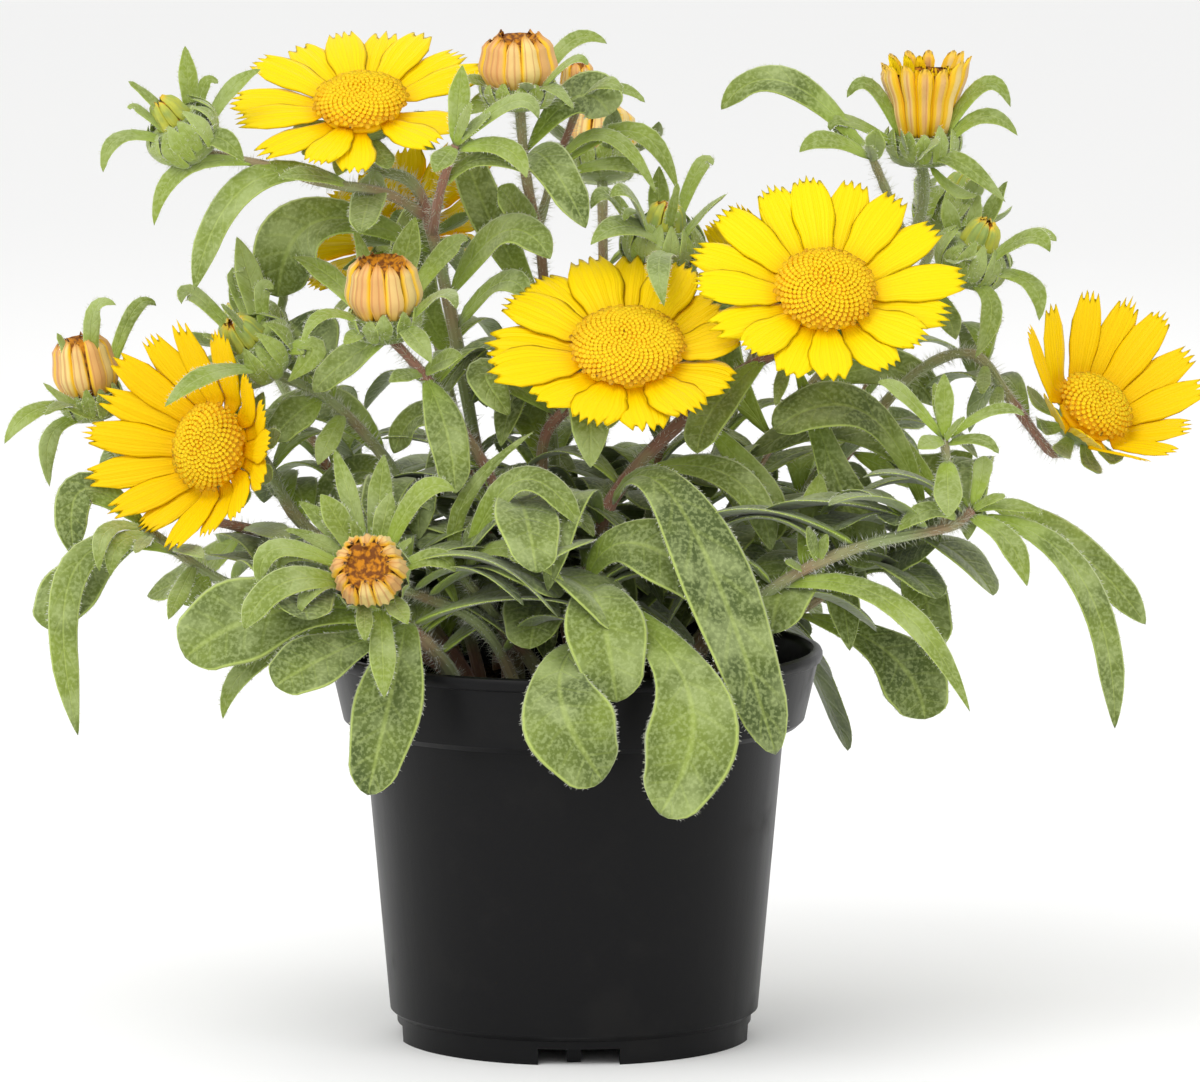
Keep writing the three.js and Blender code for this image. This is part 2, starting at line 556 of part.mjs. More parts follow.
// How high a ray stands at a distance from the middle
function rayHeight(bloom, out) {
  const start = bloom.disc + 1.4;
  const share = Math.max(out - start, 0) / (bloom.reach - start);
  return bloom.reach * share * (bloom.rise + 0.1 * (1 - share));
}

// The angle and length of each ray, from where its tip is seen or by an even turn
function raysOf(bloom) {
  if (!bloom.tips) {
    return Array.from({ length: bloom.count }, (_, ray) => ({
      angle: (ray / bloom.count) * 2 * Math.PI,
      length: bloom.reach * (0.96 + 0.05 * Math.sin(5 * ray)),
    }));
  }
  const frame = bloomFrame(bloom);
  const rays = bloom.tips.map(([across, up]) => {
    const near = seen([across, up, -60]);
    const far = seen([across, up, 60]);
    const line = far.clone().sub(near);
    let height = rayHeight(bloom, bloom.reach);
    let spot = null;
    for (let round = 0; round < 12; round += 1) {
      const start = near.clone().sub(frame.origin).dot(frame.facing) - height;
      spot = near.clone().addScaledVector(line, -start / line.dot(frame.facing)).sub(frame.origin);
      const flat = Math.hypot(spot.dot(frame.right), spot.dot(frame.over));
      height = rayHeight(bloom, Math.min(flat, bloom.reach));
    }
    const [x, y] = [spot.dot(frame.right), spot.dot(frame.over)];
    const length = THREE.MathUtils.clamp(Math.hypot(x, y), 0.86 * bloom.reach, 1.06 * bloom.reach);
    return { angle: Math.atan2(y, x), length };
  });
  rays.sort((a, b) => a.angle - b.angle);
  const turn = (2 * Math.PI) / rays.length;
  const lag = rays.reduce((sum, ray, index) => sum + ray.angle - index * turn, 0) / rays.length;
  return rays.map(({ angle, length }, index) => (
    { angle: 0.45 * angle + 0.55 * (lag + index * turn), length }
  ));
}

// One layer of rays: thin ridged blades with three teeth at their tips, joined round the middle
function makeLayer(bloom, frame, rays, lift, above, below) {
  const root = (0.8 * bloom.disc) / bloom.reach;
  const outline = [
    [root, -0.12], [0.64, -0.5], [0.95, -0.38], [0.9, -0.18], [1, 0], [0.9, 0.18], [0.95, 0.38],
    [0.64, 0.5], [root, 0.12],
  ];
  const count = outline.length;
  const corners = rays.flatMap((ray) => outline.map(([share, across]) => {
    const out = share * ray.length;
    const height = lift + rayHeight(bloom, out) - 1.2 * across ** 2;
    return onBloom(frame, ray.angle, out, across * bloom.ray, height);
  }));
  const faces = [];
  const skins = [[rayHalfThickness, lift + above], [-rayHalfThickness, lift - below]];
  for (const [raised, centreHeight] of skins) {
    const centre = corners.length;
    corners.push(onBloom(frame, 0, 0, 0, centreHeight));
    rays.forEach((ray, index) => {
      const ridge = corners.length;
      const out = bloom.disc + 2;
      corners.push(onBloom(frame, ray.angle, out, 0, lift + rayHeight(bloom, out) + raised));
      const first = index * count;
      const last = first + count - 1;
      const following = ((index + 1) % rays.length) * count;
      const upper = outline.slice(1).map((_, corner) => [ridge, first + corner, first + corner + 1]);
      upper.push([centre, first, ridge], [centre, ridge, last], [centre, last, following]);
      faces.push(...upper.map(([u, v, w]) => (raised > 0 ? [u, v, w] : [u, w, v])));
    });
  }
  return solidOf(corners, faces);
}

// The yellow rays: a lower and an upper layer grown together in the middle
function makeRays(bloom) {
  const frame = bloomFrame(bloom);
  const rays = raysOf(bloom);
  const even = rays.filter((_, index) => index % 2 === 0);
  const odd = rays.filter((_, index) => index % 2 === 1);
  const lower = makeLayer(bloom, frame, even, lowerRayLift, 0.9, 0.6);
  const upper = makeLayer(bloom, frame, odd, upperRayLift, 0.5, 0.9);
  return lower.add(upper);
}

// The gold dome of florets, raised and sunk in turn
function makeDisc(bloom) {
  const frame = bloomFrame(bloom);
  const base = 2.4 + 2 * gap + 1.2 * bloom.rise;
  const steps = [[0.9, 0, 0], [1, 1, 0.3], [0.76, 2.5, 0.45], [0.42, 3.3, 0.4]];
  const rings = steps.map(([share, height, relief], level) => (
    Array.from({ length: discSides }, (_, side) => {
      const raised = (side + level) % 2 === 0 ? relief : -relief;
      const angle = (side / discSides) * 2 * Math.PI + level * 0.12;
      return onBloom(frame, angle, bloom.disc * share + raised * 0.6, 0, base + height + raised);
    })
  ));
  return loft(rings, onBloom(frame, 0, 0, 0, base), onBloom(frame, 0, 0, 0, base + 3));
}

// The green base under a flower, with its short bracts
function makeBloomBase(bloom) {
  const frame = bloomFrame(bloom);
  const steps = [[1.7, -7], [bloom.disc * 0.62, -3.6], [bloom.disc * 0.74, 0]];
  const rings = steps.map(([radius, height]) => (
    Array.from({ length: 6 }, (_, side) => onBloom(frame, (side / 6) * 2 * Math.PI, radius, 0, height))
  ));
  const pieces = [loft(rings)];
  const [half, full] = [bloom.reach * 0.42, bloom.reach * 0.62];
  for (let bract = 0; bract < bractCount; bract += 1) {
    const angle = (bract / bractCount) * 2 * Math.PI + 0.3;
    const root = onBloom(frame, angle, bloom.disc * 0.45, 0, -3);
    const middle = onBloom(frame, angle, half, 0, -3.6 + 0.5 * rayHeight(bloom, half));
    const tip = onBloom(frame, angle, full, 0, -4.6 + 0.7 * rayHeight(bloom, full));
    pieces.push(makeBlade({ root, middle, tip, width: 4.4, face: frame.facing, stations: shortBlade }));
  }
  return pieces;
}

// A bud's own frame: its foot, the way it points, its length and two ways across it
function budFrame(bud) {
  const foot = bud.world ? new THREE.Vector3(...bud.world) : seen(bud.foot);
  const lean = bud.world ? new THREE.Vector3(...bud.lean) : seen(bud.tip).sub(foot);
  const length = bud.length ?? lean.length();
  const facing = lean.normalize();
  const right = new THREE.Vector3().crossVectors(new THREE.Vector3(0.1, 1, 0), facing).normalize();
  const over = new THREE.Vector3().crossVectors(facing, right);
  return { origin: foot, facing, right, over, length };
}

// The green cup of a bud
function makeBudCup(bud) {
  const frame = budFrame(bud);
  const top = frame.length * bud.cup;
  const [belly, mouth] = bud.form === "tight" ? [1, 0.72] : [0.92, 0.92];
  const steps = [[0.28, 0], [0.8, 0.16], [belly, 0.6], [mouth, 1]];
  const rings = steps.map(([share, height]) => Array.from({ length: cupSides }, (_, side) => (
    onBloom(frame, (side / cupSides) * 2 * Math.PI, bud.radius * share, 0, top * height)
  )));
  return loft(rings);
}

// The half width and height of the folded petals in steps, and how deep their mouth is sunk
const budForms = {
  tight: { steps: [[0.66, 0], [0.58, 0.5], [0.4, 1]], sunk: 0.55 },
  cone: { steps: [[0.86, 0], [1, 0.35], [0.8, 0.75], [0.5, 1]], sunk: 0.8 },
  flare: { steps: [[0.6, 0], [0.8, 0.4], [1.08, 0.8], [1.25, 1]], sunk: 0.4 },
};

// The folded petals of a bud: ridged all round, with a jagged mouth sunk in the middle
function makeBudPetals(bud) {
  const frame = budFrame(bud);
  const start = frame.length * bud.cup + gap;
  const tall = frame.length - start;
  const { steps, sunk } = budForms[bud.form];
  const rings = steps.map(([share, height], level) => Array.from({ length: budSides }, (_, side) => {
    const ridge = side % 2 === 0 ? 1.07 : 0.93;
    const jag = level === steps.length - 1 && side % 2 === 1 ? -0.13 : 0;
    const angle = (side / budSides) * 2 * Math.PI;
    return onBloom(frame, angle, bud.radius * share * ridge, 0, start + tall * (height + jag));
  }));
  return loft(rings, null, onBloom(frame, 0, 0, 0, start + tall * sunk));
}

// A leaf's half width and rise along its length; a short bract has fewer steps
const spoonBlade = [[0.1, 0.2], [0.4, 0.56], [0.72, 1], [0.93, 0.72]];
const narrowBlade = [[0.12, 0.4], [0.5, 0.96], [0.84, 0.78]];
const shortBlade = [[0.16, 0.6], [0.6, 1]];

// One blade on an arch from its root through its middle to its tip, a little folded along its rib
function makeBlade({ root, middle, tip, width, face, stations }) {
  const control = middle.clone().multiplyScalar(2).sub(root.clone().add(tip).multiplyScalar(0.5));
  const curve = new THREE.QuadraticBezierCurve3(root, control, tip);
  const rings = stations.map(([along, share]) => {
    const centre = curve.getPoint(along);
    const way = curve.getTangent(along);
    const across = new THREE.Vector3().crossVectors(way, face).normalize();
    const normal = new THREE.Vector3().crossVectors(across, way).normalize();
    const half = Math.max(0.5 * width * share, 0.7);
    const rise = 0.16 * half;
    const left = centre.clone().addScaledVector(across, -half).addScaledVector(normal, rise);
    const right = centre.clone().addScaledVector(across, half).addScaledVector(normal, rise);
    const below = centre.clone().addScaledVector(normal, -bladeHalfThickness);
    const above = centre.clone().addScaledVector(normal, bladeHalfThickness);
    return stations === spoonBlade ? [left, above, right, below] : [left, right, below];
  });
  return loft(rings, root, tip);
}

function stationsFor(width) {
  if (width >= 10) {
    return spoonBlade;
  }
  return width >= 6.5 ? narrowBlade : shortBlade;
}

function stemPlace(place) {
  if (place.ground) {
    return new THREE.Vector3(...place.ground, soilTop - stemDepth);
  }
  return place.isVector3 ? place : seen(place);
}

// The points of a stem, with its run into the flower or bud at its end
function stemPoints(stem) {
  const points = stem.path.map(stemPlace);
  if (stem.to in blooms) {
    const frame = bloomFrame(blooms[stem.to]);
    points.push(frame.origin.clone().addScaledVector(frame.facing, -13));
    points.push(frame.origin.clone().addScaledVector(frame.facing, -4));
  } else if (stem.to) {
    const frame = budFrame(buds[stem.to]);
    points.push(frame.origin.clone().addScaledVector(frame.facing, 1.5));
  }
  if (stem.path[0].ground) {
    points.splice(1, 0, points[0].clone().setZ(soilTop + 3));
  }
  return points;
}

// The middles of a stem's rings
function stemAxis(stem) {
  const points = stemPoints(stem);
  return new THREE.CatmullRomCurve3(points).getPoints(points.length + 2);
}

function makeStem(stem) {
  return tube(stemAxis(stem), (along) => stem.radius * (1 - 0.22 * along));
}

// The place on a plant's stems, or inside a bud's cup, that a leaf seen to leave at a point grows from
function leafRoot(plant, across, up, tipDepth) {
  let best = null;
  const want = new THREE.Vector2(across, up);
  for (const stem of plant.stems) {
    for (const spot of spotsOn(stem)) {
      const distance = onSheet(spot).distanceTo(want);
      if (!best || distance < best.distance) {
        best = { distance, spot };
      }
    }
    if (stem.to in buds) {
      best = nearestInCup(buds[stem.to], want, tipDepth, best);
    }
  }
  return best.spot;
}

// The places along a stem that a leaf may grow from, above the soil
function spotsOn(stem) {
  const middles = stemAxis(stem);
  const spots = [];
  for (let step = stem.path[0].ground ? 2 : 0; step + 1 < middles.length; step += 1) {
    for (let part = 0; part < 4; part += 1) {
      spots.push(middles[step].clone().lerp(middles[step + 1], (part + 0.5) / 4));
    }
  }
  return spots;
}

// Where a point is seen on the picture plane
function onSheet(point) {
  const sin = Math.sin(viewTilt);
  const cos = Math.cos(viewTilt);
  const height = point.z - sheetCentre.height;
  const scale = viewDistance / (viewDistance + point.y * cos - height * sin);
  return new THREE.Vector2((point.x - sheetCentre.across) * scale + sheetCentre.across,
    (point.y * sin + height * cos) * scale + sheetCentre.up);
}

function nearestInCup(bud, want, tipDepth, best) {
  const frame = budFrame(bud);
  const centre = frame.origin.clone().addScaledVector(frame.facing, 0.5 * frame.length * bud.cup);
  const middle = onSheet(centre);
  const away = want.clone().sub(middle);
  const distance = Math.max(away.length() - bud.radius, 0);
  if (distance >= best.distance) {
    return best;
  }
  away.clampLength(0, 0.5 * bud.radius);
  const inward = 0.45 * Math.sqrt(bud.radius ** 2 - away.lengthSq());
  const depth = centre.y + (tipDepth < centre.y ? -inward : inward) * Math.min(1, frame.length / 14);
  const along = frame.facing.dot(new THREE.Vector3(away.x, depth - centre.y, away.y));
  const spot = seen([middle.x + away.x, middle.y + away.y, depth]);
  const limit = 0.36 * frame.length * bud.cup;
  const shift = THREE.MathUtils.clamp(along, -limit, 0) - along;
  return { distance, spot: spot.addScaledVector(frame.facing, shift) };
}

// A leaf of the tables as its root, middle, tip, width and the way its upper face looks
function readLeaf(plant, row) {
  const width = row.at(-1);
  const tipDepth = row.at(-2);
  const root = leafRoot(plant, row[0], row[1], tipDepth);
  const tip = seen([row[row.length - 4], row[row.length - 3], tipDepth]);
  const middle = row.length > 6
    ? seen([row[2], row[3], row.length === 9 ? row[4] : 0.45 * root.y + 0.55 * tipDepth])
    : root.clone().lerp(tip, 0.5).add(new THREE.Vector3(0, 0, 0.1 * Math.abs(tip.x - root.x)));
  const face = new THREE.Vector3(0, -0.75, 0.66);
  return { root, middle, tip, width, face, stations: stationsFor(width) };
}

// The leaves of a far-side stem, turned to all sides
function backLeaves(plant, stem, order) {
  const spots = spotsOn(stem);
  const leaves = [];
  for (let leaf = 0; leaf < plant.leaves; leaf += 1) {
    const share = leaf / plant.leaves;
    const { along, turn, reach, drop, arch, width } = plant.height
      ? rosetteLeaf(plant, leaf, share, order) : stemLeaf(leaf, share, order);
    const root = spots[Math.floor(along * spots.length)];
    const heading = plant.height ? turn : turn + Math.atan2(root.y, root.x);
    const out = new THREE.Vector3(Math.cos(heading), Math.sin(heading), 0);
    const middle = root.clone().addScaledVector(out, reach * 0.52).add(new THREE.Vector3(0, 0, arch));
    const tip = root.clone().addScaledVector(out, reach).add(new THREE.Vector3(0, 0, drop));
    const face = out.clone().multiplyScalar(0.5).add(new THREE.Vector3(0, 0, 0.85));
    leaves.push({ root, middle, tip, width, face, stations: stationsFor(width) });
  }
  return leaves;
}

// A broad leaf near the ground: it hangs over the pot's rim
function rosetteLeaf(plant, leaf, share, order) {
  return {
    along: 0.4 + 0.5 * share,
    turn: plant.turn + (share - 0.5) * 2.6,
    reach: 35 + 7 * Math.sin(2.1 * leaf + order),
    drop: -17 - 12 * Math.sin(1.9 * leaf + order),
    arch: 4,
    width: 14 - (leaf % 3) * 1.5,
  };
}

// A leaf on an upright stem: smaller further up
function stemLeaf(leaf, share, order) {
  const along = 0.12 + 0.74 * share;
  return {
    along,
    turn: 1.5 * Math.sin(2.4 * leaf + order),
    reach: 30 - 12 * along + 3 * Math.sin(4 * leaf + order),
    drop: 8 * along - 4,
    arch: 8,
    width: 9 - 4 * along,
  };
}

// The short bracts round a far-side bud
function backBracts(bud) {
  const frame = budFrame(bud);
  return Array.from({ length: backBractCount }, (_, bract) => {
    const angle = (bract / backBractCount) * 2 * Math.PI;
    const at = (out, height) => onBloom(frame, angle, out * bud.radius, 0, height * frame.length);
    return {
      root: at(0.45, 0.3),
      middle: at(1.35, 0.52),
      tip: at(1.7 + 0.4 * (bract % 2), 0.85),
      width: 4.2,
      face: frame.facing,
      stations: shortBlade,
    };
  });
}

// Every placed piece, with the node that it belongs to
const placed = [];

function place(node, solid) {
  placed.push({ node, solid, box: solid.boundingBox() });
}

function isClear(node, solid) {
  const box = solid.boundingBox();
  return placed.every((other) => {
    const apart = other.node === node || [0, 1, 2].some((axis) => (
      box.min[axis] > other.box.max[axis] + gap || other.box.min[axis] > box.max[axis] + gap));
    return apart || solid.minGap(other.solid, 2 * gap) >= gap * 0.9;
  });
}

// A leaf bent by the first bend that leaves it clear of the other nodes
function placeLeaf(node, leaf) {
  for (const [deep, up, share] of bends) {
    const shift = new THREE.Vector3(0, deep, up);
    const solid = makeBlade({
      ...leaf,
      middle: leaf.middle.clone().addScaledVector(shift, share),
      tip: leaf.tip.clone().add(shift),
    });
    if (isClear(node, solid)) {
      place(node, solid);
      return;
    }
  }
}

// The largest body of a node's joined pieces
function joined(node) {
  const pieces = placed.filter((piece) => piece.node === node).map((piece) => piece.solid);
  const bodies = wasm.Manifold.union(pieces).simplify(smallestDetail).decompose();
  return bodies.reduce((best, body) => (body.volume() > best.volume() ? body : best));
}

function makeMesh(name, solid, colour, roughness) {
  const mesh = solid.getMesh();
  const geometry = new THREE.BufferGeometry();
  geometry.setAttribute("position", new THREE.BufferAttribute(new Float32Array(mesh.vertProperties), 3));
  geometry.setIndex(new THREE.BufferAttribute(new Uint32Array(mesh.triVerts), 1));
  const material = new THREE.MeshStandardMaterial({ color: colour, roughness, metalness: 0 });
  const item = new THREE.Mesh(geometry, material);
  item.name = name;
  return item;
}

const allPlants = { ...plants };
for (const [name, plant] of Object.entries(backPlants)) {
  const through = plant.through ?? [plant.from[0] * 1.1, plant.from[1] * 1.1, plant.height];
  const path = [ground(...plant.from), new THREE.Vector3(...through)];
  allPlants[name] = { stems: [{ radius: plant.height ? 2 : 1.5, path, to: plant.to }], rule: plant };
}

place("pot", makePot());
const holes = Object.values(allPlants).flatMap((plant) => plant.stems.filter((stem) => stem.path[0].ground)
  .map((stem) => [...stem.path[0].ground, stem.radius + 2 * gap + 0.6]));
place("soil", makeSoil(holes));

for (const [name, plant] of Object.entries(allPlants)) {
  for (const stem of plant.stems) {
    place(name, makeStem(stem));
    if (stem.to in blooms) {
      makeBloomBase(blooms[stem.to]).forEach((piece) => place(name, piece));
    } else if (stem.to) {
      place(name, makeBudCup(buds[stem.to]));
    }
  }
}
for (const [name, bloom] of Object.entries(blooms)) {
  place(`${name}_rays`, makeRays(bloom));
  place(`${name}_disc`, makeDisc(bloom));
}
for (const [name, bud] of Object.entries(buds)) {
  place(`${name}_petals`, makeBudPetals(bud));
}
Object.entries(allPlants).forEach(([name, plant], order) => {
  const leaves = plant.rule
    ? backLeaves(plant.rule, plant.stems[0], order)
    : plant.leaves.map((row) => readLeaf(plant, row));
  if (plant.rule?.to in buds) {
    leaves.push(...backBracts(buds[plant.rule.to]));
  }
  leaves.forEach((leaf) => placeLeaf(name, leaf));
});

const group = new THREE.Group();
for (const name of [...new Set(placed.map((piece) => piece.node))]) {
  let colour = colours.leaf;
  if (name in colours) {
    colour = colours[name];
  } else if (name.endsWith("_rays")) {
    colour = colours.ray;
  } else if (name.endsWith("_disc")) {
    colour = colours.disc;
  } else if (name.endsWith("_petals")) {
    colour = buds[name.replace("_petals", "")].form === "tight" ? colours.greenBud : colours.paleBud;
  }
  group.add(makeMesh(name, joined(name), colour, name === "pot" ? 0.5 : 0.8));
}

export default group;
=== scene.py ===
# A potted gold coin plant: leafy stems with yellow daisies and buds in a black nursery pot.
# Shapes are worked out in millimetres, with the pot's foot at height 0 and its front towards -Y.
import math
import random
from functools import partial

import bmesh
import bpy
from mathutils import Matrix, Vector, kdtree


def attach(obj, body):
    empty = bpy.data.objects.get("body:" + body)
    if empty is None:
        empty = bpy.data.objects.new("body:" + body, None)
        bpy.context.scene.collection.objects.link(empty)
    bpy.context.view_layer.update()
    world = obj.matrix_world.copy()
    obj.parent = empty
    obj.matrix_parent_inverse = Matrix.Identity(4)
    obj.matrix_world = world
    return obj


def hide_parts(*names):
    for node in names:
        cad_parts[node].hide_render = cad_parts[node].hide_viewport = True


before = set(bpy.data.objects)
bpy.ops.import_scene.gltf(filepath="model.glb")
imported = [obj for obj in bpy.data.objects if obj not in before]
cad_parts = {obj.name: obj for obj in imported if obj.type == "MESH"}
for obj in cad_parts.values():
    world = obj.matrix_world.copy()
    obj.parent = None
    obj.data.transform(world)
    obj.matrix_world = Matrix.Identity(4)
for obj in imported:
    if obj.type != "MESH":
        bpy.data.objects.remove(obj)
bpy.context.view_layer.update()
mm = 0.001
turn = 2 * math.pi
chance = random.Random(11)
upward = Vector((0, 0, 1))
mergeGap = 0.004
goldenTurn = math.pi * (3 - math.sqrt(5))

# The upright plane on the pot's axis that the plant is laid out on, as it is seen from the front
sheet = {"tilt": math.radians(7), "distance": 1800, "across": 5.48, "up": 103.6, "height": 105.35}
view = {"lens": 256.2, "sensor": 36}
tiltSin = math.sin(sheet["tilt"])
tiltCos = math.cos(sheet["tilt"])
eye = Vector((sheet["across"], 0, sheet["height"]))
eye += Vector((0, -tiltCos, tiltSin)) * sheet["distance"]


def seen(place):
    # the point at a chosen depth that is seen at a place on the sheet
    across, up, deep = place
    rise = up - sheet["up"]
    line = Vector((across, rise * tiltSin, sheet["height"] + rise * tiltCos)) - eye
    return eye + line * ((deep - eye.y) / line.y)


def onSheet(point):
    # where a point is seen on the sheet
    height = point.z - sheet["height"]
    scale = sheet["distance"] / (sheet["distance"] + point.y * tiltCos - height * tiltSin)
    across = (point.x - sheet["across"]) * scale + sheet["across"]
    return Vector((across, (point.y * tiltSin + height * tiltCos) * scale + sheet["up"]))


def ground(x, y):
    # a place in the soil where a stem stands
    return Vector((x, y, soilForm["top"] - soilForm["stemDepth"]))


# The pot is a 10.5 cm nursery pot; its soil ends below the rim
potForm = {
    "height": 83, "rimRadius": 52.5, "band": 16, "bandRadius": 48.7, "topRadius": 44.4,
    "bodyFoot": 39, "footRadius": 37.3, "footHeight": 5, "footWall": 2.2, "wall": 1.4,
    "ribWidth": 3, "notchWidth": 17, "notchHeight": 3.4, "notches": 4,
    "notchTurn": math.pi / 2 + 0.03, "drainRadius": 4, "drainReach": 25, "drains": 4,
}
soilForm = {"top": 74, "stemDepth": 7, "gap": 0.3, "radius": 42.5, "crumbs": 900, "crumbSize": 1.3}

# Open flowers: the middle of the disc (across, up, deep), the way it faces, the length of its rays,
# the disc's radius, the rise of the rays, a ray's width, and where each ray's tip is seen.
# A flower, bud or stem on the far side is given in the world instead.
blooms = {
    "bloom_upper_left": {
        "at": [-45, 196.3, 2], "faces": [-0.05, -0.53, 0.848], "reach": 27, "disc": 9.5, "rise": 0.02,
        "ray": 8.6,
        "tips": [
            [-74, 201.5], [-67, 209], [-58, 211.5], [-51, 213], [-43, 211], [-37, 216], [-27, 215],
            [-19.5, 211], [-27.5, 193], [-40, 191.5], [-48, 188.5], [-55, 184.5], [-70, 187.5],
            [-71.5, 195],
        ],
    },
    "bloom_right": {
        "at": [53, 156.5, -22], "faces": [0.04, -0.743, 0.669], "reach": 28, "disc": 10.2, "rise": 0.08,
        "ray": 9,
        "tips": [
            [40, 183], [49, 183.5], [58.5, 181.5], [66, 178.5], [77, 174], [83, 158.5], [80, 151.5],
            [76, 147], [65, 144], [52, 137], [43.5, 141], [35, 145.5], [27.5, 149.5], [25, 159],
            [24.5, 167.5], [28.5, 174],
        ],
    },
    "bloom_centre": {
        "at": [11.2, 144.5, -25], "faces": [0, -0.616, 0.788], "reach": 28, "disc": 11.6, "rise": 0.05,
        "ray": 11.5,
        "tips": [
            [-21, 148.5], [-20.5, 143.5], [-16.5, 158.5], [-12, 161.5], [-5, 165], [6.5, 164], [17, 162],
            [27, 156], [35, 148], [31, 137], [22.5, 129.5], [13, 126.5], [3, 131], [-7.5, 136.5],
        ],
    },
    "bloom_left": {
        "at": [-76.5, 123.4, -10], "faces": [-0.589, -0.781, 0.208], "reach": 24, "disc": 9, "rise": 0.5,
        "ray": 7.2,
        "tips": [
            [-91, 147], [-85, 149.5], [-78, 149], [-98, 141], [-100.5, 134], [-103.5, 127], [-102, 118],
            [-97.5, 110], [-93, 107], [-85, 101.5], [-76.5, 108], [-69, 109.5], [-64, 117], [-61.5, 122],
            [-64, 131], [-67, 134],
        ],
    },
    "bloom_far_right": {
        "at": [109.6, 131.7, 0], "faces": [0.45, -0.6, 0.66], "reach": 23, "disc": 8, "rise": 0.6,
        "ray": 7.4,
        "tips": [
            [95.5, 151], [104, 154], [115, 152], [119, 148], [123, 146.5], [127.5, 142], [130, 138.5],
            [129.5, 132.5], [127.5, 124.5], [123, 119.5], [109.5, 121.5], [96, 129],
        ],
    },
    "bloom_back_left": {
        "world": [-38, 52, 168], "faces": [-0.35, 0.62, 0.7], "reach": 26, "disc": 9.5, "rise": 0.1,
        "ray": 8.8, "count": 14,
    },
    "bloom_back_right": {
        "world": [46, 60, 152], "faces": [0.4, 0.66, 0.64], "reach": 25, "disc": 9.2, "rise": 0.2,
        "ray": 8.4, "count": 14,
    },
}


def farBud(foot, lean, radius, cup, form, length=None):
    # its foot and the way it leans, its radius, the green cup's share of its length, and how open it is
    lean = Vector(lean)
    return {"foot": Vector(foot), "lean": lean, "radius": radius, "cup": cup, "form": form,
            "length": length or lean.length}


def seenBud(foot, tip, *parts):
    return farBud(seen(foot), seen(tip) - seen(foot), *parts)


buds = {
    "bud_a": seenBud([-78.5, 184.5, -8], [-88, 197, -12], 7.2, 0.62, "tight"),
    "bud_b": seenBud([-39.5, 146, -12], [-40.7, 164, -16], 7.4, 0.32, "cone"),
    "bud_c": seenBud([-64, 139, -3], [-72.5, 150.5, -10], 8, 0.62, "tight"),
    "bud_d": seenBud([-101, 129, 12], [-104.5, 147.5, 10], 6.4, 0.32, "cone"),
    "bud_e": seenBud([-11.5, 194.5, 4], [-12, 211, 2], 7.6, 0.32, "cone"),
    "bud_f": seenBud([1, 194, 14], [0.6, 205, 14], 3.4, 0.36, "cone"),
    "bud_h": seenBud([17.5, 160, 8], [20, 175.5, 4], 8, 0.66, "tight"),
    "bud_i": seenBud([73.5, 182.5, 16], [73.5, 206, 14], 7.8, 0.3, "flare"),
    "bud_k": seenBud([81.5, 158, 8], [87.5, 171.5, 4], 7.5, 0.62, "tight"),
    "bud_m": seenBud([-42, 95, -36], [-44, 99, -51], 7.4, 0.4, "cone"),
    "bud_back_left": farBud([-66, 44, 140], [-0.5, 0.5, 0.7], 7.2, 0.62, "tight", 16),
    "bud_back_middle": farBud([6, 66, 176], [0, 0.35, 0.93], 7.2, 0.34, "cone", 17),
    "bud_back_right": farBud([78, 44, 166], [0.4, 0.4, 0.8], 7, 0.6, "tight", 16),
}


def stalk(radius, path, to=None):
    # its radius, the places it runs through, and the flower or bud at its end
    return {"radius": radius, "path": path, "to": to}


